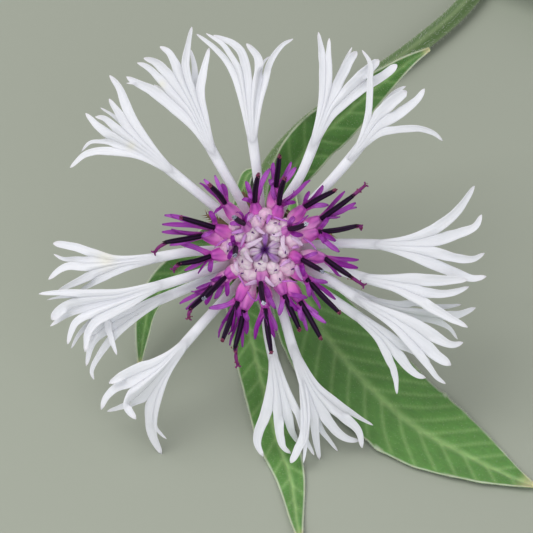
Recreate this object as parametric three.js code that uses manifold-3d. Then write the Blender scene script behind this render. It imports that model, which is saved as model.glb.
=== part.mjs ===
// A mountain cornflower, cut and laid on a surface: the head leans back on its own axis and props itself on
// its lower ray tips, the stem curves down behind it and lies along the surface, and six leaves spread from
// it. Millimetres, +Z up. The origin is the middle of the flat spot under the stem, and the head is at the
// -Y end.
import * as THREE from "three";
import { mergeVertices } from "three/addons/utils/BufferGeometryUtils.js";
import Module from "manifold-3d";

const wasm = await Module();
wasm.setup();

// Driving dimensions
const HEAD = new THREE.Vector3(-51, -144, 28.2); // middle of the mouth that the florets stand in
const TILT = Math.PI / 4; // rise of the head's axis over the surface
const EYE = 450; // distance in front of the head that its outlines were read from
const CLEAR = 0.3; // gap between neighbouring pieces
const TURNED_SIDES = 14;
const PETAL_THICKNESS = 0.62;
const LOBE_THICKNESS = 0.6;
const LEAF_THICKNESS = 0.7;

// Head frame: u to the right, v up and w along the axis towards the front
const RIGHT = new THREE.Vector3(1, 0, 0);
const UP = new THREE.Vector3(0, Math.sin(TILT), Math.cos(TILT));
const AXIS = new THREE.Vector3(0, -Math.cos(TILT), Math.sin(TILT));
const HEAD_FRAME = new THREE.Matrix4()
  .makeBasis(RIGHT, AXIS, UP.clone().negate())
  .setPosition(HEAD);

// Ray florets. Each has a slender tube, read along its middle, a height of its throat on the axis (lift),
// and lobes: width, height of the tip on the axis, then the middle line from the throat out to the tip.
const RAY_HUB = { radius: 4.9, bottom: -5.2, top: -2.6, rootRadius: 4, rootHeight: -3.3, rise: -0.6 };
const TUBE = { sides: 5, steps: 3, radii: [0.77, 0.87, 0.97, 1.06], throat: 0.92 };
const LIMB = { steps: 2, thickness: 0.9, start: 2, reach: 0.36, flare: 0.62, margin: 0.9 };
const LOBE = { steps: 3, start: 0.3, bow: 1.5, shares: [0.72, 1, 0.85, 0.26] };
const RAYS = [
  {
    lift: 1.2,
    tube: [[-6, 5.2], [-12, 10.2], [-17.2, 14.4]],
    lobes: [
      [1.3, -1.8, [-21, 15.8], [-24.9, 16.4], [-27.6, 16.5], [-30, 15.9], [-32.5, 13.7]],
      [0.9, -2.6, [-24.9, 17.7], [-27.6, 18.2], [-29.2, 17.9], [-30.6, 16.4]],
      [1.6, -0.5, [-22, 17.6], [-26, 19.2], [-28.4, 21.2], [-29.9, 22.8]],
      [1.0, 1.5, [-21, 18], [-24.3, 20.4], [-26.6, 21.9], [-28.1, 22.3]],
      [1.0, -0.8, [-21, 18.4], [-25.4, 22.3], [-27.4, 23.7]],
      [1.6, 0.6, [-20.4, 18.2], [-23.6, 21.4], [-24.9, 23.5], [-26.1, 25.3]],
      [1.6, 0, [-19.8, 18.2], [-22, 21.9], [-23, 24.7], [-24.3, 27.1], [-25.9, 29.1]],
    ],
  },
  {
    lift: 0.4,
    tube: [[-4.5, 9], [-7, 13.3], [-9.4, 17.6]],
    lobes: [
      [1.8, -1, [-12.2, 21.6], [-15.8, 25.2], [-18.8, 27.1], [-23.1, 28.9]],
      [0.9, -1.4, [-14, 23.5], [-18.8, 26.6], [-21.3, 27.3], [-23.1, 27.8]],
      [1.6, 0.2, [-12, 22], [-15.5, 26], [-18, 28.4], [-19.3, 30.3], [-21.2, 31.2]],
      [1.2, 0.4, [-13, 24.6], [-16.3, 29.2], [-18.3, 31.3], [-20.2, 32]],
      [1.5, 1.2, [-11.5, 23], [-13.8, 28], [-15.2, 31.4], [-16, 32.9], [-17.5, 33.9]],
      [1.4, 0.2, [-11, 23.5], [-12.8, 28], [-13.2, 30.9], [-12.8, 34.2], [-12.2, 37.2]],
      [1.2, -1.6, [-10.5, 23.5], [-11.6, 28.4], [-11.8, 30.9], [-12.4, 33.4]],
      [1.4, -0.8, [-10.1, 22], [-10.8, 26], [-10.4, 29.1], [-9.8, 31.7], [-9.3, 33.7]],
    ],
  },
  {
    lift: 1.4,
    tube: [[-0.9, 9], [-1.3, 12.7], [-2.2, 19.4]],
    lobes: [
      [1.1, -0.5, [-3.5, 24], [-5.1, 29.1], [-6.5, 31.6], [-8, 33.3], [-11.4, 36]],
      [1.0, 1.6, [-3.4, 25], [-4.4, 30], [-5.7, 32.4], [-7, 34.2], [-9.8, 36.1]],
      [1.5, 0.5, [-2.8, 25.5], [-3.3, 30.9], [-4, 33.1], [-5.4, 34.4], [-8.6, 35.8]],
      [1.7, 1.2, [-1.9, 25], [-0.9, 30], [-1.2, 32.1], [-2.1, 33.3], [-3.1, 34.4]],
      [0.8, -0.8, [-1, 26.5], [-0.6, 30.5], [0, 31.6], [0.8, 32.3]],
      [1.1, -0.6, [-1, 24.5], [0.2, 28.8], [0.6, 30.6], [1.5, 32.4], [3, 34.2], [4.7, 35.2]],
    ],
  },
  {
    lift: -0.2,
    tube: [[3.6, 8.6], [6, 12.5], [8.9, 19.6]],
    lobes: [
      [1.9, 0.2, [9.8, 25], [10, 29.5], [9.6, 32.5], [8.9, 36.3]],
      [1.1, 0.6, [10, 25], [10.6, 29.5], [10.6, 32.5], [10.7, 35.3]],
      [0.9, -1.8, [10.6, 25], [12.2, 28.5], [13.6, 31.6], [14.5, 33.8]],
      [1.4, -0.4, [10.9, 24.6], [12.2, 27.5], [13.2, 29.4], [14.4, 31.6], [15.4, 33]],
      [1.4, 0.8, [11.3, 24.2], [13.5, 27.2], [15.7, 29.4], [17.6, 30.8], [19, 31.7]],
      [1.5, -0.6, [10.9, 22.4], [13, 24.6], [15.4, 26.5], [18.3, 28.1], [20.5, 29.7], [22, 30.9]],
    ],
  },
  {
    lift: 1.2,
    tube: [[6.2, 6.6], [10.5, 11], [14.5, 15.6], [16.7, 18.4]],
    lobes: [
      [1.0, 2.4, [17.2, 22.6], [17.4, 24.8], [17.5, 28], [17.5, 31.2], [16.2, 33.3]],
      [1.0, -1.4, [18.5, 22], [20.6, 25.2], [22.1, 26.6], [23.5, 27.3]],
      [1.5, 0.8, [18.4, 21.8], [21, 24.8], [22.6, 25.7], [23.5, 26.5]],
      [1.6, 0, [19, 20.8], [21.5, 22.2], [23.7, 23.7], [25.4, 25.1], [26.6, 26.9]],
      [1.1, -0.8, [18.7, 19.3], [21, 19.9], [23.4, 20.2], [25.8, 20.2], [28.2, 19.4], [29.6, 18.2]],
    ],
  },
  {
    lift: 0.9,
    tube: [[6.5, 0.7], [12.5, 1.1], [20.3, 0.85]],
    lobes: [
      [1.6, 0.8, [25, 2], [29.5, 4.3], [32.4, 6.9], [34.9, 10.7]],
      [1.8, -0.6, [25, 1.2], [28.8, 1.7], [32.4, 2.8], [35, 3.9], [36.1, 5.9]],
      [1.6, 0.4, [25, 0], [28.5, -0.5], [32, -1.4], [34.8, -1.5], [36.6, -0.5]],
      [1.7, -0.8, [24.5, -0.8], [27.5, -2.1], [32, -3.9], [34.5, -4.7], [36.9, -4.4]],
    ],
  },
  {
    lift: 1.6,
    tube: [[6.6, -1.6], [10.5, -2.8], [17.8, -5]],
    lobes: [
      [1.9, 1.2, [22, -5], [25, -4.9], [29, -5.1], [31.5, -5], [33.7, -5]],
      [1.5, -0.2, [22.5, -5.9], [26, -6.9], [29.5, -7.3], [32, -6.9], [34, -6.1]],
      [1.6, 1.8, [21.5, -6.1], [25, -7.9], [29, -10.3], [31.7, -11.8], [33.8, -12.9]],
    ],
  },
  {
    lift: -1.2,
    tube: [[7, -3.4], [13, -6.4], [19.5, -9.2]],
    lobes: [
      [1.0, -5.5, [22, -9.1], [25, -8.8], [29, -9.5], [32.7, -9.1]],
      [1.6, -4.5, [24, -10.4], [28, -10.8], [31.8, -10.9], [35.1, -9.6]],
      [1.0, -6, [24.5, -11], [28, -11.8], [30.6, -12.9], [32.1, -14.9]],
    ],
  },
  {
    lift: 1.8,
    tube: [[6.6, -3], [10.8, -5], [14.5, -7.5], [18, -9.7]],
    lobes: [
      [1.9, 1.6, [22.5, -11.4], [26, -13], [29.2, -15], [31.3, -15.8], [33, -15.4]],
      [2.0, 0.4, [22.3, -12.2], [26, -15.4], [28.6, -17.8], [31, -19.2]],
      [1.3, 1.0, [21.5, -12.6], [25, -16.6], [27.4, -19.6], [28.6, -21.2], [30.1, -22.3]],
    ],
  },
  {
    lift: 0,
    tube: [[6.2, -4.6], [11.2, -8.1], [16.6, -11.8]],
    lobes: [
      [1.6, -2.2, [19.6, -14.5], [22, -17.2], [24, -19.7], [25.5, -20.9], [26.8, -21.3]],
      [1.2, -3.5, [18.8, -14.6], [20.3, -17.5], [21.6, -20.5], [22, -24]],
      [1.3, -3, [20, -13.8], [23, -15.9], [25.5, -17.2], [27.5, -18.6]],
    ],
  },
  {
    lift: 1.0,
    tube: [[1.7, -7], [3.1, -11], [4.7, -16.5], [5.7, -19]],
    lobes: [
      [1.0, -5, [8.6, -22.6], [11.5, -25], [14, -26.8], [16.5, -28.4], [18, -29.2]],
      [1.7, -3.6, [8.3, -23.2], [10.8, -25.8], [13.5, -28.1], [15.6, -30.2], [16.2, -33]],
      [1.7, -4.5, [7.8, -23.6], [9.6, -27], [11.8, -30.1], [13.8, -31.5], [15.7, -31.8]],
      [1.0, -6, [7.6, -25], [9.3, -29.8], [10.8, -31.8], [12.1, -33.5]],
      [1.5, -4.6, [7.1, -24], [8.2, -28.5], [8.5, -31.5], [9.1, -35]],
      [1.5, -1.8, [6.5, -24], [6.7, -28.5], [6.2, -31.5], [4.3, -35.5]],
      [0.9, -1.8, [6.8, -26], [6.9, -31], [6.4, -35.5]],
    ],
  },
  {
    lift: 0,
    tube: [[0, -8], [0.4, -13.3], [1.6, -19]],
    lobes: [
      [1.7, -2.8, [1, -23.5], [0.2, -27], [-1, -30.2], [-1.3, -32.2], [-0.3, -34.4]],
      [1.6, -3.2, [2.1, -24], [2.3, -28], [2.5, -31], [3.1, -32.9], [4.3, -33.9]],
      [1.6, -4.5, [3, -24], [3.9, -28], [4.6, -30.5], [5.5, -32.2]],
      [1.1, -3.2, [3.8, -23.8], [5.6, -27.5], [6.8, -31.5], [8.2, -34.2]],
    ],
  },
  {
    lift: 1.0,
    tube: [[-4.8, -6], [-10.3, -12.1], [-14.4, -16.8]],
    lobes: [
      [1.9, 0.8, [-18, -18.9], [-21.5, -20], [-24.3, -21.3], [-26, -22.2]],
      [1.6, -0.6, [-18, -19.6], [-22, -21.8], [-25, -23.1], [-26.5, -24.6], [-27.3, -26.6]],
      [2.0, 1.2, [-17.5, -20], [-20.5, -22.7], [-22.4, -24.6], [-22.9, -26.2], [-21.5, -28.2]],
      [1.3, -2.5, [-17.3, -21], [-20.3, -24.4], [-23, -25.8], [-26.3, -26.9]],
      [1.9, -5.5, [-16.6, -21], [-18.6, -24.6], [-19.1, -28], [-18.7, -31], [-17.2, -34.1]],
      [0.9, -3.5, [-16.8, -22], [-18.3, -29.2], [-17.4, -30.6], [-16.4, -31.5]],
    ],
  },
  {
    lift: -0.6,
    tube: [[-6.8, -3.8], [-12.5, -6.2], [-18.8, -8.8]],
    lobes: [
      [1.2, -2.8, [-23, -10.9], [-26.4, -12.7], [-28.8, -14.1], [-30, -17.3]],
      [1.4, -3.6, [-23, -11.4], [-26.5, -14], [-28.7, -16.2], [-29.8, -19.4]],
      [1.2, -3, [-22.5, -11.9], [-25.8, -15], [-27.9, -18], [-28.9, -20.3], [-28.5, -21.6]],
      [1.0, -1.4, [-22, -11.3], [-25, -12.7], [-25.7, -14.2], [-24.7, -17.4]],
    ],
  },
  {
    lift: 1.6,
    tube: [[-7, -2.5], [-12.5, -4.4], [-18.8, -6.3]],
    lobes: [
      [1.2, 2, [-24, -7.1], [-29, -7.2], [-34, -7.1], [-37.7, -7.3]],
      [0.7, 0.8, [-27, -7.3], [-34.5, -7.9], [-36.3, -8.3]],
      [2.0, 1, [-24, -7.7], [-29, -8.4], [-33.4, -9.6], [-35.6, -11.6]],
      [1.2, -0.8, [-24, -8.2], [-29, -9.4], [-33, -10.8], [-35.8, -12.7]],
      [1.5, 1.2, [-23.5, -8.3], [-28.5, -10.3], [-31.5, -12], [-32.3, -13.6], [-32.9, -15.7]],
      [1.1, 0, [-23.5, -8.8], [-28, -11.8], [-30.8, -13.9], [-32.3, -16.4]],
    ],
  },
  {
    lift: 0.2,
    tube: [[-6.5, 0], [-12.5, -0.3], [-19.8, -1.6]],
    lobes: [
      [1.4, -1, [-25, -1.6], [-29, -0.4], [-32.5, 0.7], [-35.3, 1.1]],
      [1.0, -2, [-26, -1.8], [-31, -1.5], [-33.6, -1.5], [-35.2, -0.7]],
      [1.5, -0.6, [-25.5, -2.2], [-29.5, -2.7], [-33.5, -2.9], [-36.1, -4.9]],
      [1.4, -1.4, [-24.5, -2.6], [-28.5, -4], [-31.5, -5.4], [-34.6, -6.9]],
      [1.2, -1.8, [-24, -3.2], [-27.5, -4.9], [-29.5, -6], [-31, -6.9]],
    ],
  },
];

// Disc florets: foot and top of the dark anther column, the style's end where it shows, and the lobes' tips.
const DISC_CORE = [
  [0, -2.3],
  [3.2, -2.3],
  [4.7, -0.7],
  [6, 1.2],
  [6.2, 2.3],
  [5.4, 3.4],
  [3, 4.2],
  [0, 4.4],
];
const BELL = {
  sides: 5,
  reach: 8.6,
  height: 4.3,
  raise: 0.8,
  raisedReach: 6,
  radii: [0.78, 1.25],
  root: 0.5,
  foot: 1.6,
};
const COLUMN = {
  sides: 4,
  length: 6.6,
  sunk: 0.4,
  radii: [0.5, 0.5, 0.34],
  styledRadii: [0.5, 0.5, 0.4, 0.26],
};
const DISC_LOBE = {
  width: 0.85,
  sunk: 0.5,
  bow: 0.7,
  bowStep: 0.5,
  arch: 0.4,
  droop: 0.2,
  shares: [0.95, 1, 0.36],
};
const OPEN_FLORETS = [
  {
    foot: [-6.5, 7.6], top: [-9.1, 10.7],
    lobes: [[-10.8, 11.3], [-8.4, 12.5], [-7.2, 11.2], [-8.6, 6.3]],
  },
  {
    foot: [-8.1, 3.6], top: [-13.8, 5.3],
    lobes: [[-16.8, 5.9], [-17.2, 4.3], [-9.3, 6.6], [-10.8, 2.2]],
  },
  { foot: [-11.5, 2.75], top: [-16.6, 1.3], style: [-18.3, -0.3], lobes: [[-17.2, 3], [-16, 0.8]] },
  {
    foot: [-8.8, -0.9], top: [-14.3, -2.3], style: [-15.2, -3.2],
    lobes: [[-14.5, 1.2], [-13.4, -3.4], [-11.2, -3.9]],
  },
  { foot: [-6.4, -4.3], top: [-10.1, -8], lobes: [[-11.5, -6.4], [-8.4, -8.3], [-6.3, -7.8]] },
  {
    foot: [-9.5, -6.6], top: [-12.4, -9.7], style: [-12.7, -11.2],
    lobes: [[-13.2, -10], [-14.3, -8.9], [-12.2, -7.2]],
  },
  { foot: [-4.4, -8.3], top: [-7, -14.8], lobes: [[-8, -14.5], [-7.2, -12.2], [-9.3, -9.7]] },
  {
    foot: [-3.8, -10.6], top: [-5, -16.25], style: [-4.55, -19.1],
    lobes: [[-3.8, -16.2], [-6, -15.9], [-2.7, -11.9]],
  },
  { foot: [-0.7, -5.2], top: [-0.2, -8.8], lobes: [[-1.5, -8.7], [1.8, -9.9]] },
  { foot: [0, -9.45], top: [1, -16.8], lobes: [[-1.7, -14.9], [1.6, -14.6], [2, -13.5]] },
  { foot: [3.1, -7.2], top: [5.7, -13.1], lobes: [[4.4, -11.3], [2.3, -11], [7.2, -8]] },
  { foot: [5.7, -8.3], top: [9.2, -14.55], lobes: [[10.2, -12.2], [7, -13.5], [8.9, -10.6]] },
  { foot: [6.7, -4.6], top: [12.2, -10.3], lobes: [[10.5, -5.4], [9.3, -9.8], [11.8, -8.3]] },
  { foot: [5.95, -1.5], top: [9.5, -3.5], lobes: [[9.6, -2], [8.9, -0.4]] },
  {
    foot: [9.8, -1.3], top: [14.2, -4.4], style: [16.3, -5.8],
    lobes: [[15.7, -1.7], [15.5, -3], [12.6, -4.6]],
  },
  { foot: [8.65, 3], top: [15.2, 4], style: [15.9, 3.8], lobes: [[12.4, -0.3], [10.7, 5.6], [10, 1]] },
  { foot: [3.8, 3.5], top: [6.8, 4.3], lobes: [[5, 5.6], [6.3, 2.5]] },
  {
    foot: [10.6, 5.9], top: [14.6, 9], style: [16.6, 10.7],
    lobes: [[13.3, 9.8], [15.2, 7.9], [15.3, 7.1], [12.5, 5.4]],
  },
  { foot: [6.4, 7], top: [11.5, 9.85], lobes: [[7.4, 9.8], [9.8, 10.8], [10.6, 7.5]] },
  { foot: [2.3, 7.3], top: [3.25, 11.8], lobes: [[5.1, 9.6], [7.5, 11.8], [1.2, 11]] },
  { foot: [1.8, 10.4], top: [2.4, 15.5], lobes: [[1.3, 14.7], [4.4, 14.7], [1, 12]] },
  { foot: [-1.7, 7.7], top: [-1.15, 12.4], lobes: [[-3.2, 11.6], [-4, 8.5], [0.8, 13.7]] },
  { foot: [-3.4, 4.3], top: [-5.1, 5.45], lobes: [[-5.9, 4.4], [-4.6, 6.6]] },
  { foot: [-4.8, 0.5], top: [-5, -0.9], lobes: [[-6, 1], [-6.1, -1.6]] },
];
const BUD_SIDES = 5;
// Shares of a bud's radius, and heights
const BUD_PROFILE = [[0, -3.6], [0.7, -3.6], [1, -1.3], [0.66, -0.3], [0, 0]];
const OPENING = { count: 9, reach: 5.1, height: 5.1, radius: 1.3, lean: 0.5, turn: 0.35 };
const BUDS = { count: 7, reach: 3.5, height: 5.5, radius: 1.15, lean: 0.3, turn: 0.1 };
const STAR_PETALS = 5;
const STAR_BUD = [
  { radius: 2.2, height: 3.2, ridge: 0 },
  { radius: 2.4, height: 5.1, ridge: 0.08 },
  { radius: 1.5, height: 5.7, ridge: 0.12 },
  { radius: 0.3, height: 5.1, ridge: 0 },
];

// Involucre: the green cup of overlapping bracts under the florets
const CUP_PROFILE = [
  [2.2, -21.6],
  [4.7, -20.3],
  [6.5, -17.8],
  [7.2, -14.4],
  [7.1, -11],
  [6.5, -7.4],
  [6.2, -4],
];
const CUP_MOUTH = { radius: RAY_HUB.radius + CLEAR, floor: RAY_HUB.bottom - CLEAR, flare: 0.3, top: -1 };
const BRACT_ROWS = [
  { foot: -20, length: 5.4, width: 4.2, count: 6, out: 0.5 },
  { foot: -16.8, length: 6, width: 4.8, count: 7, out: 0.5 },
  { foot: -13, length: 6.2, width: 4.8, count: 7, out: 0.6 },
  { foot: -9.3, length: 5.6, width: 4.2, count: 8, out: 1 },
];
const BRACT = { steps: 2, thickness: 0.9, sunk: 0.05, shares: [0.9, 0.94, 0.24] };

// Stem: from under the involucre it bends down to the surface and then lies in a loose curve
const STEM = { radius: 1.9, sides: 10, groove: 0.2, steps: 25, bend: 36.7, bendPoints: 4 };
const STEM_TOP = CUP_PROFILE[0][1] - 1.5 * CLEAR;
const STEM_LIE = [
  [0.8, 47, 1.95],
  [7, 58, 1.95],
  [18, 70, 1.95],
  [29, 81.5, 1.95],
  [39, 94, 1.95],
  [46.5, 109, 1.95],
  [50.3, 124, 1.95],
  [51, 138, 1.65],
  [51, 150, 1.65],
  [51, 163, 1.95],
];

// A point of the head as read from straight in front, so that what lies deeper is set wider out.
function seen([u, v, w]) {
  const spread = (EYE - w) / EYE;
  return HEAD.clone()
    .addScaledVector(RIGHT, u * spread)
    .addScaledVector(UP, v * spread)
    .addScaledVector(AXIS, w);
}

// A point on or over the surface, counted from the foot of the head's middle.
function laid([x, y, z]) {
  return new THREE.Vector3(HEAD.x + x, HEAD.y + y, z);
}

// Six leaves: middle line from the stem to the tip, widths along it, the way its upper face looks, its fold.
const SKYWARD = new THREE.Vector3(0, 0, 1);
const LEAVES = [
  {
    name: "leaf_1",
    facing: AXIS,
    fold: 0.16,
    spine: [
      laid([0.6, 27.9, 7.2]),
      seen([4.6, 13.5, -28]),
      seen([8.2, 18.2, -24]),
      seen([11.7, 21.2, -20]),
      seen([20.1, 28.5, -13]),
      seen([24.2, 31.6, -10]),
      seen([27.4, 33.5, -8]),
    ],
    widths: [2.6, 5.2, 7.8, 8.3, 7.6, 5.6, 3.2, 0.7],
  },
  {
    name: "leaf_2",
    facing: new THREE.Vector3(-0.25, -0.5, 0.8),
    fold: 0.5,
    spine: [
      laid([-1.6, 35.6, 5]),
      laid([-5, 27, 8.6]),
      seen([-12, -2, -22]),
      seen([-17, -6.2, -20]),
      seen([-19.6, -10, -19]),
      seen([-20.6, -15, -18.6]),
      seen([-20.9, -19.5, -18.9]),
    ],
    widths: [2.4, 4, 6, 6.6, 6.2, 4.6, 2.4, 0.7],
  },
  {
    name: "leaf_3",
    facing: SKYWARD,
    fold: 0.04,
    spine: [
      laid([-2.9, 47, 1.5]),
      laid([-4.7, 36, 0.9]),
      laid([-5.2, 22, 0.5]),
      laid([-2.6, 6.6, 0.4]),
      laid([1.6, -15.8, 0.4]),
      laid([4.2, -26, 0.4]),
      laid([5.3, -36, 0.6]),
      laid([5.9, -40.5, 1.3]),
    ],
    widths: [2.2, 3.2, 4.6, 6, 7, 7, 6.6, 4, 0.7],
  },
  {
    name: "leaf_4",
    facing: SKYWARD,
    fold: 0.1,
    spine: [
      laid([3.6, 44, 1.5]),
      laid([4.6, 36, 1.1]),
      laid([5.3, 28, 0.8]),
      laid([7, 17, 0.5]),
      laid([11.5, 5, 0.4]),
      laid([24.1, -13.3, 0.4]),
      laid([35, -22, 0.45]),
      laid([41, -26, 0.6]),
      laid([44.8, -28.4, 1.1]),
    ],
    widths: [2.4, 4.6, 9.5, 15, 18, 18.2, 16.5, 10.5, 0.8],
  },
  {
    name: "leaf_5",
    facing: SKYWARD,
    fold: 0.28,
    spine: [
      laid([42.4, 101.6, 4.5]),
      laid([48, 99, 6.4]),
      laid([58, 95, 8.6]),
      laid([70, 89.5, 8.2]),
      laid([82, 81.5, 4.4]),
      laid([89, 75.5, 1.6]),
      laid([92.5, 72, 0.4]),
    ],
    widths: [2.6, 5.4, 9.4, 11.6, 11.4, 8, 3.8, 0.8],
  },
  {
    name: "leaf_6",
    facing: SKYWARD,
    fold: 0.28,
    spine: [
      laid([49.6, 123, 4.5]),
      laid([44, 121.6, 6.6]),
      laid([34, 119, 9]),
      laid([22, 115, 8.6]),
      laid([11, 110, 5]),
      laid([3, 105.6, 1.8]),
      laid([-0.6, 103.6, 0.4]),
    ],
    widths: [2.6, 5, 8.6, 10.4, 10, 7, 3.4, 0.8],
  },
];
const LEAF = { steps: 12, across: [-1, -0.5, 0, 0.5, 1], wave: 0.45, waves: 3.5, keel: 0.25 };
const WELD = 1e-4; // vertices nearer than this are one

// Turns a three.js geometry into a solid whose faces point out.
function solidFrom(geometry) {
  const bare = new THREE.BufferGeometry().setAttribute("position", geometry.getAttribute("position"));
  bare.setIndex(geometry.index);
  const merged = mergeVertices(bare, WELD);
  const index = merged.index.array;
  const corners = [];
  for (let i = 0; i < index.length; i += 3) {
    const [a, b, c] = index.slice(i, i + 3);
    if (a !== b && b !== c && c !== a) corners.push(a, b, c);
  }
  const build = (triVerts) =>
    new wasm.Manifold(
      new wasm.Mesh({
        numProp: 3,
        vertProperties: merged.attributes.position.array,
        triVerts: new Uint32Array(triVerts),
      }),
    );
  const solid = build(corners);
  return solid.volume() < 0 ? build(corners.reverse()) : solid;
}

// Skins a row of rings that hold alike many points, with a flat cap on each end.
// The second half of a ring is the blade's lower face, whose quads are split the way those above them are.
function solidThrough(rings) {
  const count = rings[0].length;
  const index = [];
  rings.slice(1).forEach((_, i) => {
    for (let k = 0; k < count; k++) {
      const a = i * count + k;
      const b = i * count + ((k + 1) % count);
      const c = b + count;
      const d = a + count;
      if (k < count / 2) index.push(a, b, c, a, c, d);
      else index.push(a, b, d, b, c, d);
    }
  });
  const cap = (start, flip) => {
    let low = 0;
    let high = count - 1;
    const add = (a, b, c) => {
      const corners = flip ? [a, c, b] : [a, b, c];
      index.push(...corners.map((corner) => start + corner));
    };
    while (high - low > 1) {
      add(low, low + 1, high);
      low += 1;
      if (high - low > 1) add(low, high - 1, high);
      high -= 1;
    }
  };
  cap(0, true);
  cap((rings.length - 1) * count, false);
  const geometry = new THREE.BufferGeometry().setFromPoints(rings.flat());
  geometry.setIndex(index);
  return solidFrom(geometry);
}

// Carries a section along a curve. section(t) gives pairs: across the blade, and along its upward face.
function sweep(points, steps, facing, section) {
  const curve = new THREE.CatmullRomCurve3(points, false, "centripetal");
  const rings = [];
  for (let i = 0; i <= steps; i++) {
    const t = i / steps;
    const middle = curve.getPointAt(t);
    const ahead = curve.getTangentAt(t);
    const side = ahead.clone().cross(facing).normalize();
    const face = side.clone().cross(ahead).normalize();
    rings.push(section(t).map(([a, b]) => middle.clone().addScaledVector(side, a).addScaledVector(face, b)));
  }
  return solidThrough(rings);
}

const rectangle = (width, height) => [
  [-width / 2, height / 2],
  [width / 2, height / 2],
  [width / 2, -height / 2],
  [-width / 2, -height / 2],
];

const polygon = (sides, radius) =>
  Array.from({ length: sides }, (_, i) => {
    const angle = (-2 * Math.PI * i) / sides;
    return [radius * Math.cos(angle), radius * Math.sin(angle)];
  });

// A solid of revolution: profile gives radius and height from one end of the axis to the other.
function turned(profile, sides, frame) {
  const points = profile.map(([radius, height]) => new THREE.Vector2(radius, height));
  return solidFrom(new THREE.LatheGeometry(points, sides).applyMatrix4(frame));
}

// Value at t of a list that is spread evenly from 0 to 1.
function valueAt(list, t) {
  const place = t * (list.length - 1);
  const i = Math.min(Math.floor(place), list.length - 2);
  return THREE.MathUtils.lerp(list[i], list[i + 1], place - i);
}

// What lies on the surface is flat where it touches it.
const onSurface = (solid) => solid.trimByPlane(SKYWARD.toArray(), 0);

// Joins solids, and keeps the one body they make: a hollow that the join seals is filled.
function fuse(solids) {
  const bodies = wasm.Manifold.union(solids).decompose();
  return bodies.reduce((best, body) => (body.volume() > best.volume() ? body : best));
}

// A point at a share of the way along a flat line.
function pointOn(line, share) {
  const path = new THREE.CurvePath();
  const corners = line.map((corner) => new THREE.Vector2(...corner));
  corners.slice(1).forEach((end, i) => path.add(new THREE.LineCurve(corners[i], end)));
  return path.getPointAt(share).toArray();
}

// A petal lobe leaves the limb, widens and narrows to its tip; it bows forward or back along the axis.
function rayLobe(throat, lift, [width, tipHeight, ...line]) {
  const points = [0, 0.25, 0.5, 0.75, 1].map((t) => {
    const share = THREE.MathUtils.lerp(LOBE.start, 1, t);
    return seen([...pointOn([throat, ...line], share), lift + (tipHeight - lift) * share ** LOBE.bow]);
  });
  return sweep(points, LOBE.steps, AXIS, (t) => rectangle(width * valueAt(LOBE.shares, t), PETAL_THICKNESS));
}

// The limb is the flared end of the tube, as broad at its rim as the lobes that part from it.
function rayLimb(throat, lift, lobes) {
  const ends = lobes.map(([, , ...line]) => new THREE.Vector2(...pointOn([throat, ...line], LIMB.reach)));
  const middle = ends.reduce((sum, end) => sum.add(end), new THREE.Vector2()).divideScalar(ends.length);
  const outward = middle.clone().sub(new THREE.Vector2(...throat)).normalize();
  const offsets = ends.map((end) => end.clone().sub(middle).cross(outward));
  const broad = Math.max(...offsets) - Math.min(...offsets) + LIMB.margin;
  const points = [seen([...throat, lift]), seen([...middle, lift])];
  const widths = [LIMB.start, LIMB.flare * broad, broad];
  return sweep(points, LIMB.steps, AXIS, (t) => rectangle(valueAt(widths, t), LIMB.thickness));
}

function rayFloret({ lift, tube, lobes }) {
  const [first, ...rest] = tube;
  const [rootU, rootV] = new THREE.Vector2(...first).setLength(RAY_HUB.rootRadius).toArray();
  const points = [
    seen([rootU, rootV, RAY_HUB.rootHeight]),
    seen([...first, RAY_HUB.rise]),
    ...rest.map((point) => seen([...point, lift])),
  ];
  const pipe = sweep(points, TUBE.steps, AXIS, (t) => polygon(TUBE.sides, valueAt(TUBE.radii, t)));
  const throat = pointOn(tube, TUBE.throat);
  return fuse([pipe, rayLimb(throat, lift, lobes), ...lobes.map((lobe) => rayLobe(throat, lift, lobe))]);
}

function rayFlorets() {
  const { radius, bottom, top } = RAY_HUB;
  const hub = turned([[0, bottom], [radius, bottom], [radius, top], [0, top]], TURNED_SIDES, HEAD_FRAME);
  return onSurface(fuse([hub, ...RAYS.map(rayFloret)]));
}

// A disc floret's lobe is a three-sided blade that arches up from the bell's rim and out to its tip.
function discLobe(mouth, height, tip, i) {
  const bow = height + DISC_LOBE.bow + DISC_LOBE.bowStep * (i % 3);
  const reach = tip.clone().sub(mouth).setLength(BELL.radii[0]);
  const root = mouth.clone().add(reach);
  const middle = root.clone().lerp(tip, 0.5);
  const points = [
    seen([...root, height - DISC_LOBE.sunk]),
    seen([...middle, bow + DISC_LOBE.arch]),
    seen([...tip, bow - DISC_LOBE.droop]),
  ];
  return sweep(points, DISC_LOBE.shares.length - 1, AXIS, (t) => {
    const half = (DISC_LOBE.width / 2) * valueAt(DISC_LOBE.shares, t);
    return [[-half, LOBE_THICKNESS / 2], [half, LOBE_THICKNESS / 2], [0, -LOBE_THICKNESS / 2]];
  });
}

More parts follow.
